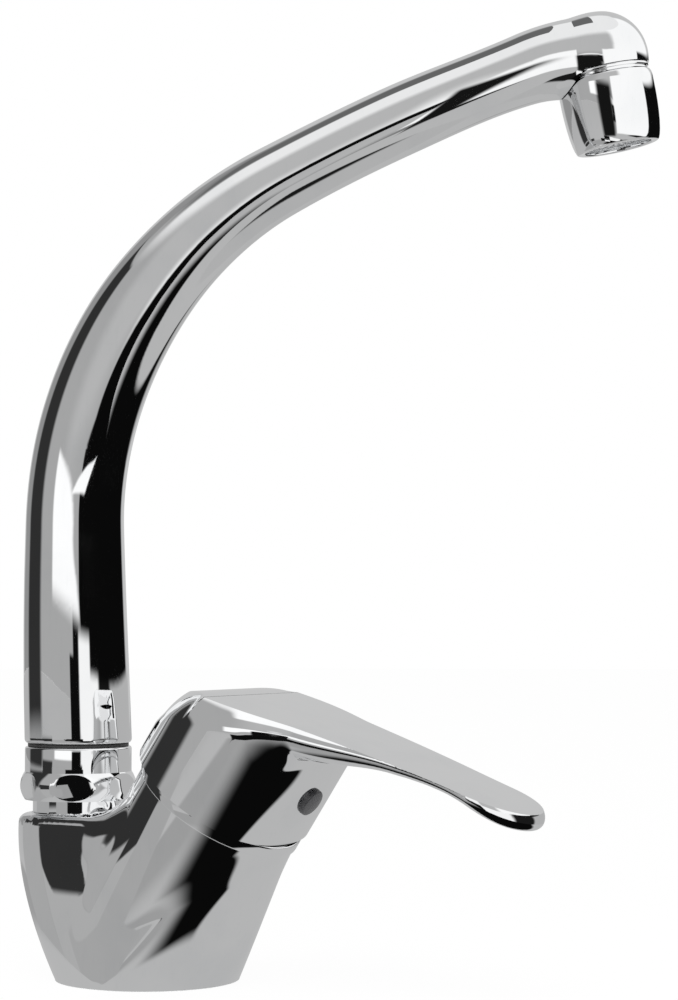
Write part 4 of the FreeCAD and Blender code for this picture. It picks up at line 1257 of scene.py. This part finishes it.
@dataclass
class CastBody:
    """Tapered body with a flat rear pedestal, a threaded boss and the inclined neck.

    A bore is given by its radius and the height of its inner end.
    """

    heights: tuple[float, ...] = (0.0, 12.069, 27.714, 44.7)
    rear_back: tuple[float, ...] = (0.6, 8.6, 19.23, 24.2)
    rear_radius: tuple[float, ...] = (24.9, 23.6, 19.5, 16.5)
    front_forward: tuple[float, ...] = (0.6, 8.24, 19.1, 30.5)
    front_radius: tuple[float, ...] = (24.9, 23.2, 20.0, 17.0)
    flat_height: float = 44.7
    flat_round: float = 2.4
    neck_radius: float = 23.4
    neck_start: float = 10.0
    neck_top: float = 58.7
    boss_radius: float = 12.7
    boss_top: float = 56.8
    boss_fillet: float = 0.5
    boss_clear: float = 0.8
    boss_cut: float = 10.0
    cut_reach: float = 187.2
    soft_fillet: float = 7.0
    crisp_fillet: float = 0.9
    soft_back: tuple[float, float] = (4.0, 19.0)
    soft_height: tuple[float, float] = (26.0, 42.0)
    chamber: tuple[float, float] = (17.6, 27.0)
    nut_recess: tuple[float, float] = (20.0, 53.25)
    spout_socket: tuple[float, float] = (9.55, 29.0)
    stud_hole: tuple[float, float] = (3.4, 14.0)
    hose_inlet: tuple[float, float] = (4.5, 12.0)
    hose_forward: float = 6.0
    hose_sides: tuple[float, float] = (-10.0, 10.0)
    hole_steps: int = 64
    groove_inner: float = 19.55
    groove_outer: float = 22.95
    groove_depth: float = 1.9
    spare: float = 3.0
    rings: int = 24
    ring_steps: int = 160
    cell: float = 0.42

    def section(self, height: np.ndarray) -> list[np.ndarray]:
        """Rear place and radius, front place and radius of the taper at a height."""
        rows = (self.rear_back, self.rear_radius, self.front_forward, self.front_radius)
        return [np.polyval(np.polyfit(self.heights, row, len(row) - 1), height) for row in rows]

    def taper(self, points: Points) -> Distances:
        """Distances to the taper: two circles and their common tangents at every height.

        Args:
            points: where they are measured.

        Returns:
            The distances.
        """
        rear, rear_radius, front, front_radius = self.section(np.clip(points[:, 2], 0, self.flat_height))
        length = rear + front
        lean = (rear_radius - front_radius) / length
        level = np.sqrt(1 - lean ** 2)
        across = np.abs(points[:, 1])
        along = points[:, 0] + rear
        turn = along * level - across * lean
        at_rear = np.hypot(across, along) - rear_radius
        at_front = np.hypot(across, along - length) - front_radius
        at_side = across * level + along * lean - rear_radius
        return np.where(turn < 0, at_rear, np.where(turn > level * length, at_front, at_side))

    def form(self, points: Points) -> Distances:
        """Distances to the whole body without its bores.

        Args:
            points: where they are measured.

        Returns:
            The distances.
        """
        block = common(self.taper(points), points[:, 2] - self.flat_height, self.flat_round)
        local = in_frame(points, NECK_FRAME)
        neck_ends = np.maximum(self.neck_start - local[:, 2], local[:, 2] - self.neck_top - self.spare)
        neck = np.maximum(np.hypot(local[:, 0], local[:, 1]) - self.neck_radius, neck_ends)
        softness = smooth_step(-local[:, 0], *self.soft_back) * smooth_step(points[:, 2], *self.soft_height)
        fillet = between(self.crisp_fillet, self.soft_fillet, softness)
        spout_place = in_frame(points, NUT_FRAME)
        boss_ends = np.maximum(self.flat_height / 2 - points[:, 2], points[:, 2] - self.boss_top - self.spare)
        boss = np.maximum(np.hypot(spout_place[:, 0], spout_place[:, 1]) - self.boss_radius, boss_ends)
        whole = joined(joined(block, neck, fillet), boss, self.boss_fillet)
        return np.maximum(whole, -self.spare - points[:, 2])

    def ring(self, height: float) -> tuple[float, Matrix]:
        """An oval round the taper.

        Args:
            height: where it lies.

        Returns:
            A circle of radius 1 and the frame that stretches it.
        """
        rear, rear_radius, front, front_radius = self.section(np.array(max(height, 0.0)))
        back, ahead = float(rear + rear_radius), float(front + front_radius)
        half_width = float(max(rear_radius, front_radius))
        middle = Matrix.Translation(((ahead - back) / 2, 0, height))
        return 1, middle @ Matrix.Diagonal(((ahead + back) / 2, half_width, 1, 1))

    def rough(self) -> bmesh.types.BMesh:
        """Overlapping shells near the form.

        Returns:
            Taper, neck and boss.
        """
        heights = np.linspace(-self.spare, self.flat_height, self.rings)
        taper = Bench.loft([self.ring(height) for height in heights], self.ring_steps)
        neck = Bench.rod(self.neck_radius, self.neck_start, self.neck_top + self.spare, NECK_FRAME)
        boss = Bench.rod(self.boss_radius, self.flat_height / 2, self.boss_top + self.spare, NUT_FRAME)
        return Bench.joint(taper, neck, boss)

    def build(self) -> bpy.types.Object:
        """Model the body with its bores.

        Returns:
            The finished piece.
        """
        piece = link_mesh(self.rough(), "cast_body")
        Bench.skin(piece, self.cell)
        Bench.settle(piece, self.form, rounds=5, relax=6)
        reach = self.cut_reach
        clear_radius = self.boss_radius + self.boss_clear
        Bench.carve(piece, Bench.slab(reach, self.neck_top, self.neck_top + reach, NECK_FRAME))
        Bench.carve(piece, Bench.slab(reach, -reach, 0, UPRIGHT))
        Bench.carve(piece, Bench.rod(clear_radius, self.boss_top, self.boss_top + self.boss_cut, NUT_FRAME))
        for tool in self.bores():
            Bench.carve(piece, tool)
        return Bench.complete(piece)

    def bores(self) -> list[bmesh.types.BMesh]:
        """Tools for the bores and the seal groove.

        Returns:
            Cartridge chamber, nut recess, spout socket, stud hole, groove and hose inlets.
        """
        inner, outer, depth = self.groove_inner, self.groove_outer, self.groove_depth
        tools = [
            Bench.rod(*self.chamber, self.neck_top + PAST, NECK_FRAME),
            Bench.rod(*self.nut_recess, self.neck_top + PAST, NECK_FRAME),
            Bench.rod(*self.spout_socket, self.boss_top + PAST, NUT_FRAME),
            self.hole(self.stud_hole, UPRIGHT),
            Bench.turned(((inner, -PAST), (outer, -PAST), (outer, depth), (inner, depth)), {}),
        ]
        for side in self.hose_sides:
            tools.append(self.hole(self.hose_inlet, Matrix.Translation((self.hose_forward, side, 0))))
        return tools

    def hole(self, bore: tuple[float, float], place: Matrix) -> bmesh.types.BMesh:
        """A tool for a bore from below."""
        radius, top = bore
        return Bench.rod(radius, -PAST, top, place, self.hole_steps)


# Spout


def heading(angle: float) -> Vector:
    """The direction that leans forward from upright by an angle."""
    return Vector((math.sin(angle), 0, math.cos(angle)))


@dataclass
class CastSpout:
    """High curved spout with a round head, seen from its own upright plane.

    The spigot and the nipple are half-sections: radius and height of each corner.
    """

    foot: float = 64.3
    lean: float = 1.3
    bend_start: float = 125.5
    bend_size: float = 116.0
    bend_angle: float = 60.0
    arm_size: float = 560.0
    arm_angle: float = 8.5
    head_ahead: float = 22.92
    head_drop: float = 4.84
    head_radius: float = 13.8
    head_fillet: float = 2.5
    collar_radius: float = 13.6
    collar_fillet: float = 1.0
    seam_drop: float = 3.6
    tilt: float = 11.65
    foot_round: float = 1.2
    room_radius: float = 14.55
    room_depth: float = 60.0
    radius_stops: Stops = (
        (-12.0, 15.3), (0.0, 15.1), (15.3, 14.95), (30.6, 14.68), (45.9, 14.32),
        (61.2, 13.9), (91.6, 13.55), (121.9, 13.0), (152.3, 11.75), (182.7, 10.7),
        (224.0, 10.45), (265.8, 10.6), (277.5, 11.7), (289.2, 13.2),
    )
    spigot: Outline = (
        (6.3, 33.0), (9.5, 33.0), (9.5, 36.65), (7.9, 36.65), (7.9, 38.35), (9.5, 38.35),
        (9.5, 42.45), (7.9, 42.45), (7.9, 44.15), (9.5, 44.15), (9.5, 56.8), (8.2, 56.8),
        (8.2, 59.2), (9.5, 59.2), (9.5, 66.0), (6.3, 66.0),
    )
    spigot_round: float = 0.5
    nipple: Outline = ((8.0, -1.0), (11.0, -1.0), (11.0, 7.0), (8.0, 7.0))
    nipple_round: float = 0.4
    station_counts: tuple[int, int, int, int] = (12, 24, 12, 6)
    steps: int = 96
    ball_steps: tuple[int, int] = (64, 48)
    spare: float = 2.0
    cell: float = 0.62

    def radius(self, travel: np.ndarray) -> np.ndarray:
        """Tube radius at a distance along the middle line."""
        return through_stops(self.radius_stops, travel)

    def turns(self) -> tuple[float, float]:
        """How far the middle line leans where the arm starts and where it ends."""
        turn = math.radians(self.bend_angle)
        return turn, turn + math.radians(self.arm_angle)

    def on_bend(self, angle: float) -> Vector:
        """A point of the bend's middle line."""
        reach = self.bend_size * (1 - math.cos(angle)) - self.lean
        return Vector((reach, 0, self.bend_start + self.bend_size * math.sin(angle)))

    def arm_end(self) -> tuple[Vector, Vector, Vector]:
        """The end of the arm.

        Returns:
            Its place, its direction and the direction square to it, downwards.
        """
        turn, end_turn = self.turns()
        reach = self.bend_size * (1 - math.cos(turn)) - self.lean
        reach += self.arm_size * (math.cos(turn) - math.cos(end_turn))
        rise = self.bend_start + self.bend_size * math.sin(turn)
        rise += self.arm_size * (math.sin(end_turn) - math.sin(turn))
        below = Vector((math.cos(end_turn), 0, -math.sin(end_turn)))
        return Vector((reach, 0, rise)), heading(end_turn), below

    def head(self) -> Vector:
        """Centre of the round head."""
        end, along, below = self.arm_end()
        return end + along * self.head_ahead + below * self.head_drop

    def head_arc(self) -> tuple[float, float]:
        """The arc that bends the arm into the head.

        Returns:
            Its radius and its angle.
        """
        half_turn = math.atan2(self.head_drop, self.head_ahead)
        chord = math.hypot(self.head_drop, self.head_ahead)
        return chord / 2 / math.sin(half_turn), 2 * half_turn

    def down(self) -> Vector:
        """Direction of the water jet."""
        tilt = math.radians(self.tilt)
        return Vector((math.sin(tilt), 0, -math.cos(tilt)))

    def jet_turn(self) -> Matrix:
        """The turn that lays a Z axis along the water jet."""
        return Matrix.Rotation(math.pi - math.radians(self.tilt), 4, "Y")

    def seam_frame(self) -> Matrix:
        """Frame of the aerator in the part: its Z axis runs down the jet."""
        seam = self.head() + self.down() * self.seam_drop
        return SPOUT_FRAME @ Matrix.Translation(seam) @ self.jet_turn()

    def middle_line(self, points: Points) -> tuple[Distances, np.ndarray]:
        """Distance from the middle line and travel along it.

        Args:
            points: points in the spout's own frame.

        Returns:
            Distances and travels.
        """
        forward, side, height = points.T
        turn, end_turn = self.turns()
        rise = self.bend_start - self.foot
        share = np.clip((height - self.foot) / rise, 0, 1)
        off_foot = forward + self.lean * np.sin(share * math.pi / 2)
        bend_forward = self.bend_size - self.lean - forward
        bend_rise = height - self.bend_start
        bend_turn = np.arctan2(bend_rise, bend_forward)
        off_bend = np.hypot(bend_forward, bend_rise) - self.bend_size
        bend_hub = Vector((self.bend_size - self.lean, 0, self.bend_start))
        arm_hub = bend_hub + Vector((-math.cos(turn), 0, math.sin(turn))) * (self.bend_size - self.arm_size)
        arm_forward = arm_hub.x - forward
        arm_rise = height - arm_hub.z
        arm_turn = np.arctan2(arm_rise, arm_forward)
        off_arm = np.hypot(arm_forward, arm_rise) - self.arm_size
        end, along, below = self.arm_end()
        head = self.head()
        head_bend, head_turn = self.head_arc()
        hub = end + below * head_bend
        ahead = (forward - hub.x) * along.x + (height - hub.z) * along.z
        out = -(forward - hub.x) * below.x - (height - hub.z) * below.z
        turned = np.arctan2(ahead, out)
        off_arc = np.hypot(ahead, out) - head_bend
        off_end = np.hypot(forward - head.x, height - head.z)
        off_head = np.where(turned < head_turn, off_arc, off_end)
        held = np.clip(turned, 0, head_turn) * head_bend
        bend_travel = rise + bend_turn * self.bend_size
        arm_start = rise + turn * self.bend_size
        arm_travel = arm_start + (arm_turn - turn) * self.arm_size
        arm_stop = arm_start + (end_turn - turn) * self.arm_size
        zones = [height < self.bend_start, bend_turn < turn, arm_turn < end_turn]
        off = np.select(zones, [off_foot, off_bend, off_arm], off_head)
        travel = np.select(zones, [height - self.foot, bend_travel, arm_travel], arm_stop + held)
        return np.hypot(off, side), travel

    def form(self, points: Points) -> Distances:
        """Distances to the spout in its own frame.

        Args:
            points: where they are measured.

        Returns:
            The distances.
        """
        off, travel = self.middle_line(points)
        tube = off - self.radius(travel)
        head = np.array(self.head())
        ball = np.linalg.norm(points - head, axis=1) - self.head_radius
        down = np.array(self.down())
        depth = (points - head) @ down
        from_axis = np.linalg.norm(points - head - depth[:, None] * down, axis=1)
        collar_ends = np.maximum(-depth, depth - self.seam_drop - self.spare)
        collar = np.maximum(from_axis - self.collar_radius, collar_ends)
        dome = joined(joined(tube, ball, self.head_fillet), collar, self.collar_fillet)
        return common(dome, self.foot - points[:, 2], self.foot_round)

    def stations(self) -> list[tuple[Vector, Vector, float]]:
        """Points along the middle line.

        Returns:
            Place, direction and travel of each point.
        """
        foot_count, bend_count, arm_count, head_count = self.station_counts
        turn, _ = self.turns()
        rise = self.bend_start - self.foot
        made = []
        for share in np.linspace(0, 1, foot_count, endpoint=False):
            place = Vector((-self.lean * math.sin(share * math.pi / 2), 0, self.foot + rise * share))
            made.append((place, heading(0), rise * share))
        for angle in np.linspace(0, turn, bend_count, endpoint=False):
            made.append((self.on_bend(angle), heading(angle), rise + self.bend_size * angle))
        start = rise + self.bend_size * turn
        for bow in np.linspace(0, math.radians(self.arm_angle), arm_count):
            angle = turn + bow
            shift = Vector((math.cos(turn) - math.cos(angle), 0, math.sin(angle) - math.sin(turn)))
            place = self.on_bend(turn) + shift * self.arm_size
            made.append((place, heading(angle), start + self.arm_size * bow))
        end, along, below = self.arm_end()
        head_bend, head_turn = self.head_arc()
        for angle in np.linspace(0, head_turn, head_count)[1:]:
            place = end + along * (head_bend * math.sin(angle)) + below * (head_bend * (1 - math.cos(angle)))
            ahead = along * math.cos(angle) + below * math.sin(angle)
            travel = start + self.arm_size * math.radians(self.arm_angle) + head_bend * angle
            made.append((place, ahead, travel))
        return made

    def rough(self) -> bmesh.types.BMesh:
        """Overlapping shells near the form.

        Returns:
            Tube, ball and collar.
        """
        rings = []
        for place, ahead, travel in self.stations():
            turn = Vector((0, 0, 1)).rotation_difference(ahead).to_matrix().to_4x4()
            rings.append((stop_value(self.radius_stops, travel), Matrix.Translation(place) @ turn))
        tube = Bench.loft(rings, self.steps)
        ball = bmesh.new()
        at_head = Matrix.Translation(self.head())
        round_steps, height_steps = self.ball_steps
        bmesh.ops.create_uvsphere(
            ball, u_segments=round_steps, v_segments=height_steps, radius=self.head_radius, matrix=at_head
        )
        collar = Bench.rod(self.collar_radius, 0, self.seam_drop + self.spare, at_head @ self.jet_turn())
        return Bench.joint(tube, ball, collar)

    def build(self) -> bpy.types.Object:
        """Model the spout with its spigot and nipple.

        Returns:
            The finished piece.
        """
        piece = link_mesh(self.rough(), "cast_spout")
        Bench.skin(piece, self.cell)
        Bench.settle(piece, self.form)
        piece.data.transform(SPOUT_FRAME)
        Bench.carve(piece, Bench.rod(self.room_radius, 0, self.room_depth, self.seam_frame()))
        spigot = Bench.turned(self.spigot, {1: self.spigot_round}, self.steps)
        spigot.transform(SPOUT_FRAME)
        nipple = Bench.turned(self.nipple, {2: self.nipple_round}, self.steps)
        nipple.transform(self.seam_frame())
        Bench.add_shells(piece, spigot, nipple)
        return Bench.complete(piece)


# Handle


@dataclass
class CapLever:
    """Cap, skirt and chin over the cartridge, with the long flat lever.

    A zone is the two places between which a fillet or an edge changes.
    """

    cap_radius: float = 26.2
    cap_height: float = 110.0
    chin: float = 24.4
    chin_round: float = 8.0
    chin_slab: tuple[float, float, float] = (80.0, 60.0, 70.0)
    skirt_bottom: float = 62.3
    skirt_edge: float = 1.0
    skirt_slab: tuple[float, float] = (90.0, 60.0)
    arch: Stops = ((13.0, 84.6), (66.0, 69.2), (120.8, 49.8))
    rear_roll: float = 16.0
    edge_lift: float = 1.8
    edge_round: float = 9.0
    edge_zone: tuple[float, float] = (65.0, 76.0)
    tip_centre: float = 106.8
    tip_radius: float = 14.0
    tip_end: float = 0.5
    half_stops: Stops = (
        (10.0, 24.0), (33.73, 24.4), (46.7, 23.0), (59.62, 20.3),
        (85.5, 16.0), (106.8, 14.0), (107.8, 14.0),
    )
    depth_stops: Stops = (
        (10.0, 7.8), (33.7, 7.8), (59.9, 7.8), (85.5, 2.6), (101.3, 1.9), (116.1, 4.6), (122.0, 4.7),
    )
    lever_back: float = 8.0
    lever_runs: tuple[tuple[float, float, int], ...] = ((34.0, 106.8, 40), (108.0, 120.6, 14))
    lever_steps: int = 96
    crease: float = 2.5
    chin_fillet: float = 3.0
    side_fillet: float = 6.0
    side_zone: tuple[float, float] = (8.0, 19.0)
    below_zone: tuple[float, float] = (-2.0, 5.0)
    ahead_zone: tuple[float, float] = (-8.0, 22.0)
    hollow_radius: float = 24.3
    hollow_top: float = 75.3
    hollow_front: float = 19.4
    socket: tuple[float, float] = (6.1, 7.1)
    socket_top: float = 83.05
    screw_hole: float = 2.45
    screw_steps: int = 48
    plug_seat: float = 3.95
    plug_steps: int = 96
    plug_depth: float = 3.0
    plug_past: float = 5.0
    line_hub: tuple[float, float, float] = (40.0, 0.0, 60.0)
    line_turns: tuple[float, float, int] = (-9.0, 176.0, 140)
    line_reach: tuple[float, float] = (2.0, 200.0)
    line_halvings: int = 40
    tool_rear: float = -70.0
    tool_front: float = 160.0
    tool_height: float = 140.0
    tool_half: float = 60.0
    spare: float = 4.0
    cell: float = 0.45

    def arch_circle(self) -> tuple[float, float, float]:
        """The circle through the arch of the top, seen from the side.

        Returns:
            Forward place and height of its centre, and its radius.
        """
        rows = np.array([(2 * forward, 2 * height, 1.0) for forward, height in self.arch])
        squares = np.array([forward ** 2 + height ** 2 for forward, height in self.arch])
        forward, height, rest = np.linalg.solve(rows, squares)
        return forward, height, math.sqrt(rest + forward ** 2 + height ** 2)

    def above_arch(self, points: Points) -> Distances:
        """Distances above the arch of the top."""
        forward, height, radius = self.arch_circle()
        return np.hypot(points[:, 0] - forward, points[:, 2] - height) - radius

    def top(self, points: Points) -> Distances:
        """Distances above the flat top, which rolls down at the rear."""
        local = in_frame(points, NECK_FRAME)
        return common(self.above_arch(points), -self.cap_radius - local[:, 0], self.rear_roll)

    def plan(self, points: Points) -> Distances:
        """Distances to the lever's outline seen from above.

        Args:
            points: where they are measured.

        Returns:
            The distances.
        """
        forward, across = points[:, 0], np.abs(points[:, 1])
        side = across - through_stops(self.half_stops, forward)
        tip = np.hypot(forward - self.tip_centre, across) - self.tip_radius
        return np.where(forward < self.tip_centre, side, tip)

    def form(self, points: Points) -> Distances:
        """Distances to the handle before its top is cut flat and its hollow is cut.

        Args:
            points: where they are measured.

        Returns:
            The distances.
        """
        ahead, aside, up = in_frame(points, NECK_FRAME).T
        raised = self.top(points) - self.edge_lift
        barrel = np.hypot(ahead, aside) - self.cap_radius
        walls = common(barrel, ahead - self.chin, self.chin_round)
        edge = between(self.skirt_edge, self.edge_round, smooth_step(up, *self.edge_zone))
        cap = common(walls, raised, edge)
        cap = np.maximum(cap, self.skirt_bottom - self.spare - up)
        depth = through_stops(self.depth_stops, points[:, 0])
        below = -(self.above_arch(points) + depth)
        half = 0.5 * (depth + self.edge_lift)
        plan = self.plan(points)
        outline = np.where(ahead < 0, np.maximum(plan, barrel), plan)
        lever = common(common(outline, raised, half), below, half)
        lever = np.maximum(lever, -ahead - self.lever_back)
        corner = between(self.chin_fillet, self.side_fillet, smooth_step(np.abs(aside), *self.side_zone))
        reach = smooth_step(below, *self.below_zone) * smooth_step(ahead, *self.ahead_zone)
        return joined(cap, lever, between(self.crease, corner, reach))

    def top_line(self, level: float) -> list[tuple[float, float]]:
        """The top's side view at a level, from the front to the rear.

        Args:
            level: distance above the flat top.

        Returns:
            Forward places and heights.
        """
        hub = np.array(self.line_hub)
        turns = np.radians(np.linspace(*self.line_turns))
        rays = np.stack([np.cos(turns), np.zeros_like(turns), np.sin(turns)], axis=1)
        near, far = (np.full(len(turns), reach) for reach in self.line_reach)
        for _ in range(self.line_halvings):
            middle = (near + far) / 2
            outside = self.top(hub + rays * middle[:, None]) > level
            near, far = np.where(outside, near, middle), np.where(outside, middle, far)
        line = hub + rays * near[:, None]
        return [(float(point[0]), float(point[2])) for point in line]

    def over_top(self, level: float) -> bmesh.types.BMesh:
        """Everything above the top at a level, as a tool.

        Args:
            level: distance above the flat top.

        Returns:
            The tool.
        """
        line = self.top_line(level)
        rear_height, front_height = line[-1][1], line[0][1]
        line += [(self.tool_rear, rear_height), (self.tool_rear, self.tool_height)]
        line += [(self.tool_front, self.tool_height), (self.tool_front, front_height)]
        outline = [(forward, -self.tool_half, height) for forward, height in line]
        return Bench.prism(outline, (0, 2 * self.tool_half, 0))

    def ring(self, forward: float) -> tuple[float, Matrix]:
        """An oval round the lever.

        Args:
            forward: where it stands.

        Returns:
            A circle of radius 1 and the frame that stretches it.
        """
        centre_forward, centre_height, radius = self.arch_circle()
        past = max(forward - self.tip_centre, 0.0)
        half = stop_value(self.half_stops, forward)
        if past > 0:
            half = math.sqrt(max(self.tip_radius ** 2 - past ** 2, self.tip_end))
        depth = stop_value(self.depth_stops, forward)
        height = centre_height + math.sqrt(radius ** 2 - (forward - centre_forward) ** 2)
        middle = height + (self.edge_lift - depth) / 2
        shrink = Matrix.Diagonal((1, half, (depth + self.edge_lift) / 2, 1))
        return 1, Matrix.Translation((forward, 0, middle)) @ shrink @ QUARTER

    def rough(self) -> bpy.types.Object:
        """Overlapping shells near the form.

        Returns:
            Cap and lever.
        """
        low = self.skirt_bottom - self.spare
        cap = link_mesh(Bench.rod(self.cap_radius, low, self.cap_height, NECK_FRAME), "cap_lever")
        Bench.carve(cap, self.over_top(self.edge_lift))
        slab_radius, slab_length, slab_height = self.chin_slab
        before_chin = NECK_FRAME @ Matrix.Translation((self.chin, 0, slab_height)) @ QUARTER
        Bench.carve(cap, Bench.slab(slab_radius, 0, slab_length, before_chin))
        places = np.concatenate([np.linspace(*run) for run in self.lever_runs])
        lever = Bench.loft([self.ring(forward) for forward in places], self.lever_steps)
        Bench.add_shells(cap, lever)
        return cap

    def build(self) -> bpy.types.Object:
        """Model the handle with its hollow, stem socket, screw hole and plug seat.

        Returns:
            The finished piece.
        """
        piece = self.rough()
        Bench.skin(piece, self.cell)
        Bench.settle(piece, self.form)
        Bench.carve(piece, self.over_top(0.0))
        radius, length = self.skirt_slab
        Bench.carve(piece, Bench.slab(radius, self.skirt_bottom - length, self.skirt_bottom, NECK_FRAME))
        for tool in self.hollows():
            Bench.carve(piece, tool)
        return Bench.complete(piece)

    def hollows(self) -> list[bmesh.types.BMesh]:
        """Tools for the inside.

        Returns:
            Hollow, stem socket, screw hole and plug seat.
        """
        hollow = Bench.rod(self.hollow_radius, self.skirt_bottom - PAST, self.hollow_top, NECK_FRAME)
        Bench.trim(hollow, NECK_FRAME, self.hollow_front)
        socket = bmesh.new()
        rise = self.socket_top - self.hollow_top + PAST
        middle = Matrix.Translation((0, 0, self.hollow_top - PAST + rise / 2))
        size = Matrix.Diagonal((*self.socket, rise, 1))
        bmesh.ops.create_cube(socket, size=1, matrix=NECK_FRAME @ middle @ size)
        bore = NECK_FRAME @ Matrix.Translation((0, 0, PLUG_HEIGHT)) @ QUARTER
        outside = self.chin + self.plug_past
        screw = Bench.rod(self.screw_hole, 0, outside, bore, self.screw_steps)
        seat = Bench.rod(self.plug_seat, self.chin - self.plug_depth, outside, bore, self.plug_steps)
        return [hollow, socket, screw, seat]


# Turned pieces

HEXAGON = 6
HEXAGON_HEIGHT = 100.0


@dataclass(frozen=True)
class TurnedPiece:
    """A piece turned on a lathe: its half-section and the rounded corners."""

    name: str
    node: str
    body: RigidBody
    slot: Slot
    place: Matrix
    outline: Outline
    rounds: dict[int, float]
    flats: float = 0.0
    flats_turn: float = 0.0

    def build(self) -> bpy.types.Object:
        """Turn the piece and mill its wrench flats, if it has any.

        Returns:
            The finished piece.
        """
        shape = Bench.turned(self.outline, self.rounds)
        piece = link_mesh(shape, self.name)
        if self.flats:
            corner = self.flats / 2 / math.cos(math.pi / HEXAGON)
            turn = Matrix.Rotation(math.radians(self.flats_turn), 4, "Z")
            Bench.carve(piece, Bench.rod(corner, 0, HEXAGON_HEIGHT, turn, HEXAGON), "INTERSECT")
        piece.data.transform(self.place)
        return Bench.complete(piece)


def turned_pieces(aerator_frame: Matrix) -> list[TurnedPiece]:
    """All turned pieces that show.

    Args:
        aerator_frame: frame of the aerator.

    Returns:
        The pieces.
    """
    return [
        TurnedPiece(
            "bezel_ring", "trim_ring", RigidBody.BASE, Slot.CHROME, NECK_FRAME,
            ((20.05, 58.7), (24.0, 58.7), (24.0, 62.0), (20.05, 62.0)),
            {1: 0.35, 2: 0.5},
        ),
        TurnedPiece(
            "hex_nut", "spout_nut", RigidBody.BASE, Slot.CHROME, NUT_FRAME,
            (
                (12.75, 48.6), (15.0, 48.6), (15.55, 49.5), (16.0, 50.6), (16.24, 51.6),
                (16.3, 52.5), (16.24, 53.4), (16.0, 54.4), (15.55, 55.5), (15.0, 56.4),
                (15.0, 63.4), (9.55, 63.4), (9.55, 60.0), (12.75, 60.0),
            ),
            {10: 0.6},
            flats=30.3,
            flats_turn=1.0,
        ),
        TurnedPiece(
            "slip_washer", "spout_slip_washer", RigidBody.SPOUT, Slot.WASHER_PLASTIC, NUT_FRAME,
            ((9.55, 63.45), (14.2, 63.45), (14.2, 64.25), (9.55, 64.25)),
            {1: 0.15, 2: 0.15},
        ),
        TurnedPiece(
            "dark_plug", "index_plug", RigidBody.LEVER, Slot.PLUG_PLASTIC, PLUG_FRAME,
            ((0.0, 0.0), (3.9, 0.0), (3.9, 2.7), (0.0, 3.0)),
            {2: 0.5},
        ),
        TurnedPiece(
            "aerator_barrel", "aerator_housing", RigidBody.SPOUT, Slot.CHROME, aerator_frame,
            (
                (11.05, 0.05), (13.6, 0.05), (13.6, 1.2), (13.0, 1.2), (13.0, 1.8),
                (13.75, 2.3), (14.1, 3.0), (14.25, 4.2), (14.25, 9.0), (14.15, 12.0),
                (13.95, 15.0), (13.65, 17.8), (13.25, 20.2), (12.85, 21.8), (12.3, 23.2),
                (10.0, 23.2), (10.0, 21.4), (10.8, 21.4), (10.8, 7.0), (11.05, 7.0),
            ),
            {1: 0.3, 2: 0.3, 14: 0.45, 15: 0.3},
        ),
    ]


def main() -> None:
    """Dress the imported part, build its pieces and set up the studio."""
    logging.basicConfig(level=logging.INFO, format="%(message)s")
    wardrobe = Wardrobe(FINISHES)
    wardrobe.dress_nodes()
    assembly = Assembly(wardrobe)
    assembly.fit(CastBody().build(), "body_casting", RigidBody.BASE, Slot.CHROME)
    spout = CastSpout()
    assembly.fit(spout.build(), "spout", RigidBody.SPOUT, Slot.CHROME)
    assembly.fit(CapLever().build(), "handle", RigidBody.LEVER, Slot.CHROME)
    for piece in turned_pieces(spout.seam_frame()):
        assembly.fit(piece.build(), piece.node, piece.body, piece.slot)
    Studio().build()


if __name__ == "__main__":
    main()
